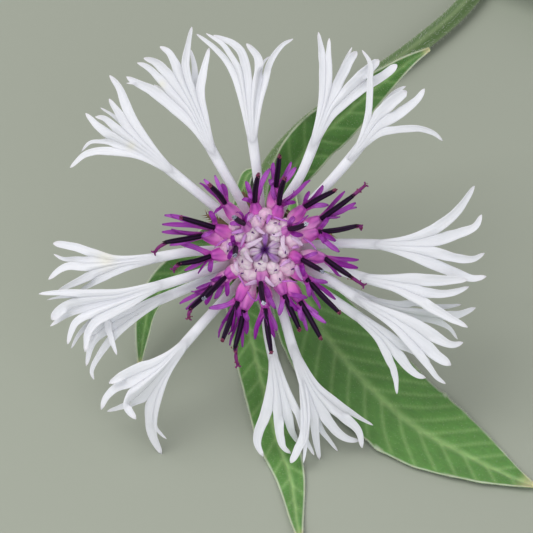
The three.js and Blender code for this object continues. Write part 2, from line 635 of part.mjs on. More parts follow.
// One open floret of the disc: a bell on a slim tube, its lobes, and the column of anthers with the style.
function openFloret({ foot, top, style, lobes }) {
  const base = new THREE.Vector2(...foot);
  const mouth = base.clone().clampLength(0, BELL.reach);
  const height = BELL.height + (base.length() < BELL.raisedReach ? BELL.raise : 0);
  const lean = base.distanceTo(new THREE.Vector2(...top));
  const rise = Math.sqrt(Math.max(COLUMN.length ** 2 - lean ** 2, 0));
  const root = mouth.clone().multiplyScalar(BELL.root);
  const bell = sweep([seen([...root, BELL.foot]), seen([...mouth, height])], BELL.radii.length - 1, UP, (t) =>
    polygon(BELL.sides, valueAt(BELL.radii, t)),
  );
  const line = [seen([...mouth, height - COLUMN.sunk]), seen([...top, height + rise + COLUMN.sunk])];
  if (style) line.push(seen([...style, height + rise - COLUMN.sunk]));
  const radii = style ? COLUMN.styledRadii : COLUMN.radii;
  const column = sweep(line, radii.length - 1, UP, (t) => polygon(COLUMN.sides, valueAt(radii, t)));
  const straps = lobes.map((tip, i) => discLobe(mouth, height, new THREE.Vector2(...tip), i));
  return fuse([bell, column, ...straps]);
}

// A closed floret: a round-topped bud that leans away from the axis.
function bud(angle, { reach, height, radius, lean }) {
  const direction = new THREE.Vector3(Math.cos(angle) * lean, 1, -Math.sin(angle) * lean).normalize();
  const turn = new THREE.Quaternion().setFromUnitVectors(new THREE.Vector3(0, 1, 0), direction);
  const top = new THREE.Vector3(Math.cos(angle) * reach, height, -Math.sin(angle) * reach);
  const place = new THREE.Matrix4().compose(top, turn, new THREE.Vector3(radius, 1, radius));
  return turned(BUD_PROFILE, BUD_SIDES, HEAD_FRAME.clone().multiply(place));
}

function budRing(ring) {
  return Array.from({ length: ring.count }, (_, i) => bud(ring.turn + (2 * Math.PI * i) / ring.count, ring));
}

// The closed middle bud, with a ridge for each petal and a dimple where their tips meet.
function starBud() {
  const sides = 4 * STAR_PETALS;
  const rings = STAR_BUD.map(({ radius, height, ridge }) =>
    Array.from({ length: sides }, (_, i) => {
      const angle = (-2 * Math.PI * i) / sides;
      const reach = radius * (1 + ridge * Math.cos(STAR_PETALS * angle));
      return seen([reach * Math.cos(angle), reach * Math.sin(angle), height]);
    }),
  );
  return solidThrough(rings);
}

function discFlorets() {
  const core = turned(DISC_CORE, TURNED_SIDES, HEAD_FRAME);
  return fuse([core, starBud(), ...budRing(BUDS), ...budRing(OPENING), ...OPEN_FLORETS.map(openFloret)]);
}

// Radius of the involucre at a height on the axis.
function cupRadius(height) {
  const [foot, ...rest] = CUP_PROFILE;
  if (height <= foot[1]) return foot[0];
  const i = rest.findIndex(([, top]) => top >= height);
  if (i < 0) return rest[rest.length - 1][0];
  const [lowRadius, low] = CUP_PROFILE[i];
  const [highRadius, high] = rest[i];
  return THREE.MathUtils.mapLinear(height, low, high, lowRadius, highRadius);
}

function bract(angle, { foot, length, width, out }) {
  const outward = RIGHT.clone().multiplyScalar(Math.cos(angle)).addScaledVector(UP, Math.sin(angle));
  const points = [0, 0.5, 1].map((t) => {
    const height = foot + length * t;
    const radius = cupRadius(height) - BRACT.sunk + out * t ** 3;
    return HEAD.clone().addScaledVector(AXIS, height).addScaledVector(outward, radius);
  });
  const section = (t) => rectangle(width * valueAt(BRACT.shares, t), BRACT.thickness);
  return sweep(points, BRACT.steps, outward, section);
}

function involucre() {
  const [base] = CUP_PROFILE;
  const { radius, floor, flare, top } = CUP_MOUTH;
  const [, rim] = CUP_PROFILE[CUP_PROFILE.length - 1];
  const hollow = [[radius, rim], [radius, floor], [0, floor]];
  const cup = turned([[0, base[1]], ...CUP_PROFILE, ...hollow], TURNED_SIDES, HEAD_FRAME);
  const bracts = BRACT_ROWS.flatMap((row, i) =>
    Array.from({ length: row.count }, (_, j) => bract((2 * Math.PI * (j + (i % 2) / 2)) / row.count, row)),
  );
  const profile = [[0, floor], [radius, floor], [radius + flare, top], [0, top]];
  const mouth = turned(profile, TURNED_SIDES, HEAD_FRAME);
  return fuse([cup, ...bracts]).subtract(mouth);
}

// The stem leaves the head along its axis and bends down in an arc until it lies level.
function stem() {
  const start = HEAD.clone().addScaledVector(AXIS, STEM_TOP);
  const arc = Array.from({ length: STEM.bendPoints + 1 }, (_, i) => {
    const slope = TILT * (1 - i / STEM.bendPoints);
    const back = STEM.bend * (Math.sin(TILT) - Math.sin(slope));
    const down = STEM.bend * (Math.cos(slope) - Math.cos(TILT));
    return start.clone().add(new THREE.Vector3(0, back, -down));
  });
  const section = polygon(STEM.sides, 1).map(([a, b], i) => {
    const radius = STEM.radius - (i % 2) * STEM.groove;
    return [-b * radius, a * radius];
  });
  return onSurface(sweep([...arc, ...STEM_LIE.map(laid)], STEM.steps, SKYWARD, () => section));
}

// A folded blade with a waved edge and a keel under its midrib.
function leaf({ spine, widths, facing, fold }) {
  const blade = sweep(spine, LEAF.steps, facing, (t) => {
    const half = valueAt(widths, t) / 2;
    const wave = LEAF.wave * Math.sin(2 * Math.PI * LEAF.waves * t) * Math.sin(Math.PI * t);
    const row = (offset, keel) =>
      LEAF.across.map((share) => {
        const lift = half * Math.abs(share) * Math.sin(fold) + wave * share ** 3;
        return [half * share * Math.cos(fold), lift + offset - (share === 0 ? keel : 0)];
      });
    const keel = LEAF.keel * Math.min(1, half);
    return [...row(LEAF_THICKNESS / 2, 0), ...row(-LEAF_THICKNESS / 2, keel).reverse()];
  });
  return onSurface(blade);
}

function meshFrom(name, solid, material) {
  const { vertProperties, triVerts } = solid.getMesh();
  const geometry = new THREE.BufferGeometry();
  geometry.setAttribute("position", new THREE.BufferAttribute(new Float32Array(vertProperties), 3));
  geometry.setIndex(new THREE.BufferAttribute(new Uint32Array(triVerts), 1));
  geometry.computeVertexNormals();
  const mesh = new THREE.Mesh(geometry, material);
  mesh.name = name;
  return mesh;
}

const paint = (color, roughness) => new THREE.MeshStandardMaterial({ color, roughness, metalness: 0 });

const flower = new THREE.Group();
flower.add(meshFrom("involucre", involucre(), paint(0x5f7f3c, 0.7)));
flower.add(meshFrom("ray_florets", rayFlorets(), paint(0xeceaf2, 0.6)));
flower.add(meshFrom("disc_florets", discFlorets(), paint(0x8c1f9c, 0.5)));
flower.add(meshFrom("stem", stem(), paint(0x587a38, 0.65)));
LEAVES.forEach((blade) => flower.add(meshFrom(blade.name, leaf(blade), paint(0x4d8030, 0.6))));

export default flower;
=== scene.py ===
"""A mountain cornflower, cut and laid on a pale surface: fine florets, bracts, stem and leaves.

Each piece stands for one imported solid. Sizes are millimetres until a mesh is made. The head is built in its
own frame: u to the right, v up and w along its axis towards the front.
"""

import math
from types import SimpleNamespace as Sizes

import bmesh
import bpy
import numpy as np
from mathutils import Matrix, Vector


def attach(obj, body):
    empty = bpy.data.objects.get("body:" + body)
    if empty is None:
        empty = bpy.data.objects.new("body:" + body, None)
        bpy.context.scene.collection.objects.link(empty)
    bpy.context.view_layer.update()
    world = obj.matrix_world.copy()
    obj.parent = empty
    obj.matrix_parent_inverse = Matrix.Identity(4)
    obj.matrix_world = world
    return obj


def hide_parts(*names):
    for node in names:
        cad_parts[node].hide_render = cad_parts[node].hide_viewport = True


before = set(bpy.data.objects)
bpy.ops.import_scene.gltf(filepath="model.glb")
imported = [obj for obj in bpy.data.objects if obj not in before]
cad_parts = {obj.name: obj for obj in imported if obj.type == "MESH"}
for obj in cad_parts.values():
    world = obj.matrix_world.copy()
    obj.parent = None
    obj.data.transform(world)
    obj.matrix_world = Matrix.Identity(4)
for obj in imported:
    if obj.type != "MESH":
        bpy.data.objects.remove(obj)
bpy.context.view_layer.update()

MM = 0.001

# Head frame, as in the part's source
HEAD = np.array([-51.0, -144.0, 28.2])
TILT = math.pi / 4
EYE = 450.0  # distance in front of the head that its outlines were read from
RIGHT = np.array([1.0, 0.0, 0.0])
UP = np.array([0.0, math.sin(TILT), math.cos(TILT)])
AXIS = np.array([0.0, -math.cos(TILT), math.sin(TILT)])
SKYWARD = np.array([0.0, 0.0, 1.0])
FRONT = np.array([0.0, 0.0, 1.0])  # the head's axis in u, v and w
NEARLY_UP = UP + RIGHT * 0.01  # a little aside, so that no thread runs along it

# Camera and light
IMAGE_SIDE = 533
PIXELS_PER_MM = 6.0
HEAD_PIXEL = (265, 250)
SENSOR = 36.0
FLOOR = Sizes(half_side=1.2, colour=(0.40, 0.43, 0.36), roughness=0.85)
SKY = Sizes(colour=(1.0, 1.0, 1.0), strength=0.36)
# Name, offset from the head and side in metres, power and colour
LAMPS = [
    ["Key", (-0.35, 0.0, 0.6), 0.6, 3.1, (1.0, 0.99, 0.97)],
    ["Fill", (0.2, -0.6, 0.2), 0.8, 2.6, (0.97, 0.98, 1.0)],
]
PATCH_SCALE = 260.0
GRAIN_DEPTH = 0.1

# Ray florets
RAY_HUB = Sizes(root_radius=4.0, root_height=-3.3, rise=-0.6)
TUBE = Sizes(
    rings=30, sides=16, throat=0.92, past=3.4, wide=[0.76, 0.79, 0.81, 0.88, 0.84],
    high=[0.76, 0.78, 0.7, 0.4, 0.03], dive=0.4, fall=0.1, dent=0.12,
    dent_begins=(0.25, 0.2), dent_ends=(0.48, 0.16), dent_half=0.45,
)
# The fan of a floret's lobes: begin is a share of the tube's length, and so is the tube's throat
# Earliest and latest are shares of a lobe's length, between which it comes free of the next one
FAN = Sizes(
    begin=0.72, half=0.88, narrow=0.86, sunk=0.06, emerge=3.6, step=0.42, earliest=0.34, latest=0.78,
    part=0.92, blend=1.2, arch=0.56, flat=9.0, proud=0.12, sorted_at=0.6, compared_at=0.62, behind=0.4,
)
# Roll is in degrees, gutter a share of the half width, and curl how far the tip lifts
RAY_LOBE = Sizes(
    columns=11, thickness=0.28, rib=0.1, vein=0.025, groove=0.03, slim=0.6, bow=1.5, broad=1.05, round=0.06,
    ragged=0.05, knots=14, roll=22, gutter=(0.1, 0.4), curl=(-0.5, 0.6),
)
# Lobes outside the row: how much deeper they lie, and the share of their length that they start at
# Depth also darkens a lobe behind as painted shade and lightens one in front as painted light
BEHIND = Sizes(depth=0.28, start=0.12)
OVER = Sizes(depth=-0.3, start=0.56)
RAY_WIDTHS = [0.5, 0.78, 0.95, 1.04, 1.07, 1.05, 0.97, 0.83, 0.62, 0.34]
RAY_BLUNT = [0.5, 0.78, 0.95, 1.0, 1.02, 1.02, 0.99, 0.93, 0.83, 0.66]
RAY_WHITE = (0.85, 0.86, 0.925)
# Painted shade for the grooves where joined lobes meet
RAY_GROOVE_SHADE = (0.72, 0.73, 0.80)
RAY_CREAM = (0.86, 0.82, 0.60)
CREAM_SPOTS = [[-26.5, -1.4, 1.6], [-22.3, 17.35, 0.7], [-17.2, 27.6, 0.7]]  # place and radius
RAY_ROOT = (0.85, 0.70, 0.82)
RAY_TIP = (0.84, 0.80, 0.87)


def ray(lift, tube, lobes, blunt=(), over=()):
    """A ray floret: the height of its tube's end, the tube's points and its lobes.

    Each lobe is a width, the height of its tip and the points of its middle line. Blunt lists the lobes with
    a blunt tip, and over has the lobes that cross in front of the fan.
    """
    return Sizes(lift=lift, tube=tube, lobes=lobes, blunt=blunt, over=over)


RAYS = [
    ray(1.2, [[-6, 5.2], [-12, 10.2], [-17.2, 14.4]], lobes=[
        [1.3, -1.8, [-21, 15.8], [-24.9, 16.4], [-27.6, 16.5], [-30, 15.9], [-32.5, 13.7]],
        [0.8, -2.2, [-24.9, 17.6], [-27.6, 18.1], [-29.2, 17.9], [-30.6, 16.4]],
        [1.6, -0.5, [-22, 17.1], [-25.8, 19.1], [-27.7, 20.5], [-28.9, 21.7], [-29.9, 22.8]],
        [1.5, 1.2, [-21.2, 17.5], [-23.9, 19.5], [-25.7, 21.1], [-26.9, 22], [-28.3, 22.2]],
        [0.8, -0.8, [-21, 18.4], [-25.2, 22.3], [-27.4, 23.7]],
        [1.6, 0.6, [-20.5, 18], [-23.2, 21], [-24.7, 23.3], [-26, 25.2]],
        [1.6, 0, [-19.9, 18.2], [-22.1, 21.6], [-23.4, 24.7], [-24.3, 27], [-25.9, 29.1]],
    ]),
    ray(0.4, [[-4.5, 9], [-7, 13.3], [-9.4, 17.6]], lobes=[
        [1.9, -1, [-12, 21], [-15.2, 23.9], [-18.6, 26.4], [-20.6, 27.5], [-22.3, 28.4], [-23.1, 28.9]],
        [0.8, -1.1, [-15, 23.8], [-18.6, 26.2], [-21.6, 27.7], [-23.1, 27.8]],
        [1.2, -1.2, [-13, 23.3], [-16.3, 26], [-18.5, 27.55]],
        [1.5, 0.2, [-12.3, 22.8], [-15.4, 26.2], [-17.6, 28.5], [-18.9, 29.9], [-20, 30.7], [-21.3, 31.2]],
        [2.0, 0.4, [-12.2, 23.4], [-14.6, 27], [-16.6, 29.7], [-18.3, 31.3], [-20.2, 32]],
        [1.8, 1.2, [-11.5, 23], [-13.7, 28], [-15.1, 31.4], [-16.1, 33], [-17.5, 33.9]],
        [1.4, 0.2, [-11, 23.5], [-12.8, 28], [-13.2, 30.9], [-12.8, 34.2], [-12.2, 37.2]],
        [1.2, -1.6, [-10.5, 23.5], [-11.6, 28.4], [-11.8, 30.9], [-12.4, 33.4]],
        [1.4, -0.8, [-10.1, 22], [-10.8, 26], [-10.4, 29.1], [-9.8, 31.7], [-9.3, 33.7]],
    ]),
    ray(1.4, [[-0.9, 9], [-1.3, 12.7], [-2.2, 19.4]], lobes=[
        [1.1, -0.5, [-3.5, 24], [-5.1, 29.1], [-6.5, 31.6], [-8, 33.3], [-11.4, 36]],
        [1.0, 1.6, [-3.4, 25], [-4.4, 30], [-5.7, 32.4], [-7, 34.2], [-9.8, 36.1]],
        [1.5, 0.5, [-2.8, 25.5], [-3.3, 30.9], [-4, 33.1], [-5.4, 34.4], [-8.6, 35.8]],
        [1.7, 1.2, [-1.9, 25], [-0.9, 30], [-1.2, 32.1], [-2.1, 33.3], [-3.1, 34.4]],
        [0.8, -0.8, [-1, 26.5], [-0.6, 30.5], [0, 31.6], [0.8, 32.3]],
        [1.1, -0.6, [-1, 24.5], [0.2, 28.8], [0.6, 30.6], [1.5, 32.4], [3, 34.2], [4.7, 35.2]],
    ]),
    ray(-0.2, [[3.6, 8.6], [6, 12.5], [8.9, 19.6]], blunt=[3, 4, 5], lobes=[
        [1.3, 0.2, [9.6, 25], [9.7, 29.5], [9.5, 32.5], [8.9, 36.3]],
        [1.2, 0.6, [10.1, 25], [10.6, 29.5], [10.6, 32.5], [10.7, 35.3]],
        [0.8, -1.8, [10.6, 25], [12, 28.5], [13.4, 31.6], [14.5, 33.8]],
        [1.6, -0.4, [10.8, 24.6], [11.9, 27.2], [13, 29.4], [14.1, 31.5], [15.3, 33.1]],
        [1.9, 0.8, [11, 23.7], [12.9, 25.6], [14.9, 27.8], [16.7, 29.6], [18, 30.8], [19, 31.7]],
        [1.6, -0.6, [10.9, 22.4], [12.8, 24.2], [14.9, 26], [17.1, 27.5], [19.9, 29.2], [22, 30.9]],
    ]),
    ray(1.2, [[6.2, 6.6], [10.5, 11], [14.5, 15.6], [16.7, 18.4]], blunt=[2], lobes=[
        [1.0, 2.4, [17.2, 22.6], [17.4, 24.8], [17.5, 28], [17.5, 31.2], [16.2, 33.3]],
        [1.0, -1.4, [18.5, 22], [20.6, 25.2], [22.1, 26.6], [23.5, 27.3]],
        [1.9, 0.8, [18.3, 21.6], [20.6, 24.2], [22.3, 25.5], [23.6, 26.5]],
        [1.6, 0, [19, 20.8], [21.5, 22.2], [23.7, 23.7], [25.4, 25.1], [26.6, 26.9]],
        [1.1, -0.8, [18.7, 19.3], [21, 19.9], [23.4, 20.2], [25.8, 20.2], [28.2, 19.4], [29.6, 18.2]],
    ]),
    ray(0.9, [[6.5, 0.7], [12.5, 1.1], [20.3, 0.85]], lobes=[
        [1.6, 0.8, [25, 2], [29.5, 4.3], [32.4, 6.9], [34.9, 10.7]],
        [1.8, -0.6, [25, 1.2], [28.8, 1.7], [32.4, 2.8], [35, 3.9], [36.1, 5.9]],
        [1.6, 0.4, [25, 0], [28.5, -0.5], [32, -1.4], [34.8, -1.5], [36.6, -0.5]],
        [1.7, -0.8, [24.5, -0.8], [27.5, -2.1], [32, -3.9], [34.5, -4.7], [36.9, -4.4]],
    ]),
    ray(1.6, [[6.6, -1.6], [10.5, -2.8], [17.8, -5]], lobes=[
        [1.9, 1.2, [22, -5], [25, -4.9], [29, -5.1], [31.5, -5], [33.7, -5]],
        [1.5, -0.2, [22.5, -5.9], [26, -6.9], [29.5, -7.3], [32, -6.9], [34, -6.1]],
        [1.6, 1.8, [21.5, -6.1], [25, -7.9], [29, -10.3], [31.7, -11.8], [33.8, -12.9]],
    ]),
    ray(-1.2, [[7, -3.4], [13, -6.4], [19.5, -9.2]], lobes=[
        [1.0, -5.5, [22, -9.1], [25, -8.8], [29, -9.5], [32.7, -9.1]],
        [1.6, -4.5, [24, -10.4], [28, -10.8], [31.8, -10.9], [35.1, -9.6]],
        [1.0, -6, [24.5, -11], [28, -11.8], [30.6, -12.9], [32.1, -14.9]],
    ]),
    ray(1.8, [[6.6, -3], [10.8, -5], [14.5, -7.5], [18, -9.7]], lobes=[
        [1.9, 1.6, [22.5, -11.4], [26, -13], [29.2, -15], [31.3, -15.8], [33, -15.4]],
        [2.4, 0.4, [22.3, -12.2], [26, -15.3], [28.6, -17.6], [31, -19.2]],
        [1.3, 1.0, [21.5, -12.6], [25, -16.6], [27.4, -19.6], [28.6, -21.2], [30.1, -22.3]],
    ]),
    ray(0, [[6.2, -4.6], [11.2, -8.1], [16.6, -11.8]], lobes=[
        [1.6, -2.2, [19.6, -14.5], [22, -17.2], [24, -19.7], [25.5, -20.9], [26.8, -21.3]],
        [1.2, -3.5, [18.8, -14.6], [20.3, -17.5], [21.6, -20.5], [22, -24]],
        [1.3, -3, [20, -13.8], [23, -15.9], [25.5, -17.2], [27.5, -18.6]],
    ]),
    ray(1.0, [[1.7, -7], [3.1, -11], [4.7, -16.5], [5.7, -19]], blunt=[5], lobes=[
        [1.0, -5, [8.6, -22.6], [11.5, -25], [14, -26.8], [16.5, -28.4], [18, -29.2]],
        [1.7, -3.6, [8.3, -23.2], [10.8, -25.8], [13.5, -28.1], [15.6, -30.2], [16.2, -33]],
        [1.7, -4.5, [7.8, -23.6], [9.6, -27], [11.8, -30.1], [13.8, -31.5], [15.7, -31.8]],
        [1.0, -6, [7.6, -25], [9.3, -29.8], [10.8, -31.8], [12.1, -33.5]],
        [1.5, -4.6, [7.1, -24], [8.2, -28.5], [8.5, -31.5], [9.1, -35]],
        [1.5, -1.8, [6.5, -24], [6.7, -28.5], [6.2, -31.5], [4.3, -35.5]],
        [0.9, -1.8, [6.8, -26], [6.9, -31], [6.4, -35.5]],
    ]),
    ray(0, [[0, -8], [0.4, -13.3], [1.6, -19]], lobes=[
        [1.7, -2.8, [1, -23.5], [0.2, -27], [-1, -30.2], [-1.3, -32.2], [-0.3, -34.4]],
        [1.6, -3.2, [2.1, -24], [2.3, -28], [2.5, -31], [3.1, -32.9], [4.3, -33.9]],
        [1.6, -4.5, [3, -24], [3.9, -28], [4.6, -30.5], [5.5, -32.2]],
        [1.1, -3.2, [3.8, -23.8], [5.6, -27.5], [6.8, -31.5], [8.2, -34.2]],
    ]),
    ray(1.0, [[-4.8, -6], [-10.3, -12.1], [-14.4, -16.8]], lobes=[
        [1.9, 0.8, [-18, -18.9], [-21.5, -20], [-24.3, -21.3], [-26, -22.2]],
        [1.6, -0.6, [-18, -19.6], [-22, -21.8], [-25, -23.1], [-26.5, -24.6], [-27.3, -26.6]],
        [2.0, 1.2, [-17.5, -20], [-20.5, -22.7], [-22.4, -24.6], [-22.9, -26.2], [-21.5, -28.2]],
        [1.3, -2.5, [-17.3, -21], [-20.3, -24.4], [-23, -25.8], [-26.3, -26.9]],
        [1.9, -5.5, [-16.6, -21], [-18.6, -24.6], [-19.1, -28], [-18.7, -31], [-17.2, -34.1]],
        [0.9, -3.5, [-16.8, -22], [-18.3, -29.2], [-17.4, -30.6], [-16.4, -31.5]],
    ]),
    ray(-0.6, [[-6.8, -3.8], [-12.5, -6.2], [-18.8, -8.8]], lobes=[
        [1.2, -2.8, [-22.8, -10.4], [-26, -11.8], [-28.3, -13.5], [-29.4, -15.6]],
        [1.4, -3.6, [-23, -11.3], [-26.4, -13.3], [-28.6, -15.2], [-29.8, -19.3]],
        [1.2, -3, [-22.5, -11.9], [-25.8, -15], [-27.9, -18], [-28.9, -20.3], [-28.5, -21.6]],
    ], over=[[1.1, -0.6, [-22, -9.9], [-25, -10.9], [-26.2, -12.2], [-25.8, -14.2], [-24.7, -17.5]]]),
    ray(1.6, [[-7, -2.5], [-12.5, -4.4], [-18.8, -6.3]], blunt=[2], lobes=[
        [1.2, 2, [-24, -7.1], [-29, -7.2], [-34, -7.1], [-37.7, -7.3]],
        [0.7, 0.8, [-27, -7.3], [-34.5, -7.9], [-36.3, -8.3]],
        [2.0, 1, [-24, -7.7], [-29, -8.4], [-33.4, -9.6], [-35.6, -11.6]],
        [1.2, -0.8, [-24, -8.2], [-29, -9.4], [-33, -10.8], [-35.8, -12.7]],
        [1.5, 1.2, [-23.5, -8.3], [-28.5, -10.3], [-31.5, -12], [-32.3, -13.6], [-32.9, -15.7]],
        [1.0, -0.6, [-23.5, -8.7], [-28, -11.2], [-30.8, -13.8], [-32.3, -16.4]],
        [1.6, 0.9, [-22.9, -9], [-25.6, -10.4], [-28, -11.8], [-29.4, -13.7], [-30, -17]],
    ]),
    ray(0.2, [[-6.5, 0], [-12.5, -0.3], [-19.8, -1.6]], blunt=[0], lobes=[
        [1.4, -1, [-25, -1.6], [-29, -0.4], [-32.5, 0.7], [-35.3, 1.1]],
        [1.0, -2, [-26, -1.8], [-31, -1.5], [-33.6, -1.5], [-35.2, -0.7]],
        [1.5, -0.6, [-25.5, -2.2], [-29.5, -2.7], [-33.5, -2.9], [-36.1, -4.9]],
        [1.4, -1.4, [-24.5, -2.6], [-28.5, -4], [-31.5, -5.4], [-34.6, -6.9]],
        [1.2, -1.8, [-24, -3.2], [-27.5, -4.9], [-29.5, -6], [-31, -6.9]],
    ]),
]

# Disc florets
PINK_POLLEN = (0.24, 0.045, 0.11)
WHITE_POLLEN = (0.62, 0.65, 0.76)
GREY_POLLEN = (0.33, 0.35, 0.45)
# Foot and top of the anther column, and the tips of the lobes
OPEN_FLORETS = [
    [[-6.5, 7.6], [-9.1, 10.7], [[-10.8, 11.3], [-10.2, 11.8], [-8.4, 12.5], [-7.2, 11.2], [-8.6, 6.3]]],
    [[-8.1, 3.6], [-13.8, 5.3], [[-16.8, 5.9], [-15.8, 5.9], [-17.2, 4.3], [-9.3, 6.6], [-10.8, 2.2]]],
    [[-11.5, 2.75], [-16.6, 1.3], [[-17.2, 3], [-16, 0.8], [-15.6, 3.5]]],
    [[-8.8, -0.9], [-14.3, -2.3], [[-14.5, 1.2], [-13.4, -3.4], [-11.2, -3.9], [-9.2, -3.8]]],
    [[-6.4, -4.3], [-10.1, -8], [[-11.5, -6.4], [-8.4, -8.3], [-9.2, -5.2], [-6.3, -7.8]]],
    [[-9.5, -6.6], [-12.4, -9.7], [[-13.2, -10], [-14.3, -8.9], [-12.2, -7.2], [-10, -9.2]]],
    [[-4.4, -8.3], [-7, -14.8], [[-8, -14.5], [-7.2, -12.2], [-5.8, -14.2], [-9.3, -9.7], [-4, -12.4]]],
    [[-3.8, -10.6], [-5, -16.25], [[-3.8, -16.2], [-6, -15.9], [-2.7, -11.9], [-3.1, -14]]],
    [[-0.7, -5.2], [-0.2, -8.8], [[-1.5, -8.7], [1.8, -9.9], [0.9, -8.3]]],
    [[0, -9.45], [1, -16.8], [[-1.3, -13], [-1.7, -14.9], [1.6, -14.6], [2, -13.5], [0.6, -12.4]]],
    [[3.1, -7.2], [5.7, -13.1], [[4.4, -11.3], [2.3, -11], [5.9, -10.4], [7.2, -8]]],
    [[5.7, -8.3], [9.2, -14.55], [[10.2, -12.2], [7, -13.5], [6.2, -12], [8.9, -10.6]]],
    [[6.7, -4.6], [12.2, -10.3], [[10.5, -5.4], [9.3, -9.8], [7.4, -8], [11.8, -8.3]]],
    [[5.95, -1.5], [9.5, -3.5], [[9.6, -2], [8.9, -0.4], [6.6, -4.6]]],
    [[9.8, -1.3], [14.2, -4.4], [[15.7, -1.7], [15.5, -3], [12.6, -4.6], [13.9, -2.2]]],
    [[8.65, 3], [15.2, 4], [[12.4, -0.3], [10.7, 5.6], [11.8, 1.5], [10, 1]]],
    [[3.8, 3.5], [6.8, 4.3], [[5, 5.6], [7.2, 5.8], [6.3, 2.5]]],
    [[10.6, 5.9], [14.6, 9], [[13.3, 9.8], [14.8, 9], [15.2, 7.9], [15.3, 7.1], [12.5, 5.4]]],
    [[6.4, 7], [11.5, 9.85], [[7.4, 9.8], [9.8, 10.8], [10.6, 7.5]]],
    [[2.3, 7.3], [3.25, 11.8], [[5.1, 9.6], [7.5, 11.8], [1.2, 11], [5.3, 8]]],
    [[1.8, 10.4], [2.4, 15.5], [[1.3, 14.7], [4.4, 14.7], [5.2, 13.9], [1, 12]]],
    [[-1.7, 7.7], [-1.15, 12.4], [[-3.2, 11.6], [-4, 8.5], [0.8, 13.7], [-0.6, 10.9], [-2.8, 9.5]]],
    [[-3.4, 4.3], [-5.1, 5.45], [[-5.9, 4.4], [-4.6, 6.6], [-2.8, 6.4]]],
    [[-4.8, 0.5], [-5, -0.9], [[-6, 1], [-5.4, 2.6], [-6.1, -1.6]]],
]
# Ends of the styles that show, by the number of the floret
STYLE_ENDS = {
    2: [-18.3, -0.3], 3: [-15.2, -3.2], 5: [-12.7, -11.2], 7: [-4.55, -19.1],
    14: [16.3, -5.8], 15: [15.9, 3.8], 17: [16.6, 10.7],
}
# Pollen that isn't pink, by the number of the floret
PALE_POLLEN = {
    4: GREY_POLLEN, 8: WHITE_POLLEN, 13: GREY_POLLEN, 16: WHITE_POLLEN,
    22: GREY_POLLEN, 23: GREY_POLLEN,
}
# Pale is how strongly one side of a bell is lightened as a painted highlight
BELL = Sizes(
    reach=10.4, height=4.3, lifted=0.8, raised_reach=6.0, root=0.46, foot=1.6, rings=16, sides=24,
    flute=0.07, slimmer=0.02, pale=(0.1, 0.8),
)
BELL_RADII = [0.5, 0.55, 0.68, 0.9, 1.12, 1.22, 1.16, 0.98, 0.76]
BELL_TOP = [(0.84, 0.14), (0.56, 0.22), (0.25, 0.25)]  # share of the rim's radius, and height over it
COLUMN = Sizes(
    length=6.6, rise=1.5, sunk=0.4, rings=14, sides=20, groove=0.07,
    radii=[0.36, 0.42, 0.46, 0.45, 0.42, 0.33], bend=0.22, forward=0.12,
)
ANTHER_TIP = Sizes(spread=0.24, sunk=0.3, length=0.95, inward=0.08, radius=0.16)
# A style that shows, its fork and its pollen, and the pollen of a short one
STYLE_END = Sizes(
    radii=[0.32, 0.3, 0.26], sunk=0.6, bow=0.3, fork_radii=[0.2, 0.17, 0.12], fork=0.4, wide=0.5,
    grains=26, scatter=0.2, grain=(0.08, 0.17),
    short_grains=44, short_spread=(0.1, 0.4), short_grain=(0.07, 0.15),
    pollen_over=0.2, past=0.3, fork_foot=0.2, fork_bend=0.2, fork_lift=(-0.1, 0.4),
)
DISC_LOBE = Sizes(
    columns=9, rings=19, thickness=0.14, from_mouth=0.42, sunk=0.6, bow=0.6, bow_step=0.45, arch=0.4,
    droop=0.2, under=1.0, aside=0.3, roll=26, twist=(50, 75), twisted=0.2,
    vary=(0.85, 1.15), gutter=(0.35, 0.75), end=0.5, curl=(-0.3, 0.8),
)
DISC_WIDTHS = [0.58, 0.5, 0.42, 0.38, 0.39, 0.41, 0.39, 0.3, 0.13]
DISC_VIOLET = (0.235, 0.006, 0.285)
DISC_LIGHT = (0.56, 0.15, 0.70)
DISC_PINK = (0.90, 0.29, 0.70)
DISC_SEAM = (0.66, 0.10, 0.52)
DISC_ORCHID = (0.70, 0.12, 0.60)
DISC_PALE = (0.93, 0.70, 0.86)
DISC_DOT = (0.16, 0.012, 0.22)
STYLE = (0.20, 0.015, 0.16)
ANTHER = (0.004, 0.001, 0.006)
ANTHER_RIDGE = (0.030, 0.007, 0.042)
DARK, POLLEN = 1, 2  # the disc's second and third material
DISC_CORE = [[0.02, -2.3], [3.2, -2.3], [4.7, -0.7], [6, 1.2], [6.2, 2.3], [5.4, 3.4], [3, 4.2], [0.02, 4.4]]
DISC_FLESH = (0.58, 0.36, 0.50)
CROWN = [5.7, 5.65, 5.5, 5.3, 5.0, 4.7, 4.4]  # height of the florets' tops, for each step out from the middle
CROWN_STEP = 1.5

# Closed florets in the middle: place, radius and how pink
DOMES = [
    [1.7, 4.1, 1.3, 0.1], [-2.4, 2.6, 1.15, 0.1], [-4.7, 2.5, 1.1, 0.3], [1.9, 2.2, 0.9, 0.0],
    [3.3, -0.2, 0.95, 0.0], [5.2, 1.8, 1.25, 0.5], [-3.8, -2.3, 1.1, 0.0], [-0.8, -2.8, 1.05, 0.0],
    [1.5, -3.3, 1.05, 0.1], [-2.8, -4.6, 1.15, 0.2], [2.1, -5.2, 1.1, 0.5], [4.2, -3.2, 1.25, 0.6],
    [-1.6, 5.2, 1.2, 0.6], [-6.6, 0.6, 1.25, 0.7], [-3.9, -0.2, 0.9, 0.1], [3.6, 4.6, 0.95, 0.5],
    [-5.2, -3.6, 1.0, 0.6], [-5.4, 4.4, 1.0, 0.7], [0.1, 6.6, 1.0, 0.8],
]
DOME = Sizes(
    sides=30, lean=0.09, groove=0.09, heights=[-3.6, -3, -2.3, -1.7, -1.2, -0.8, -0.45, -0.2, -0.05],
    radii=[0.55, 0.8, 1.02, 1.15, 1.17, 1.11, 0.93, 0.64, 0.2],
    stretch=(1.0, 1.28),
)
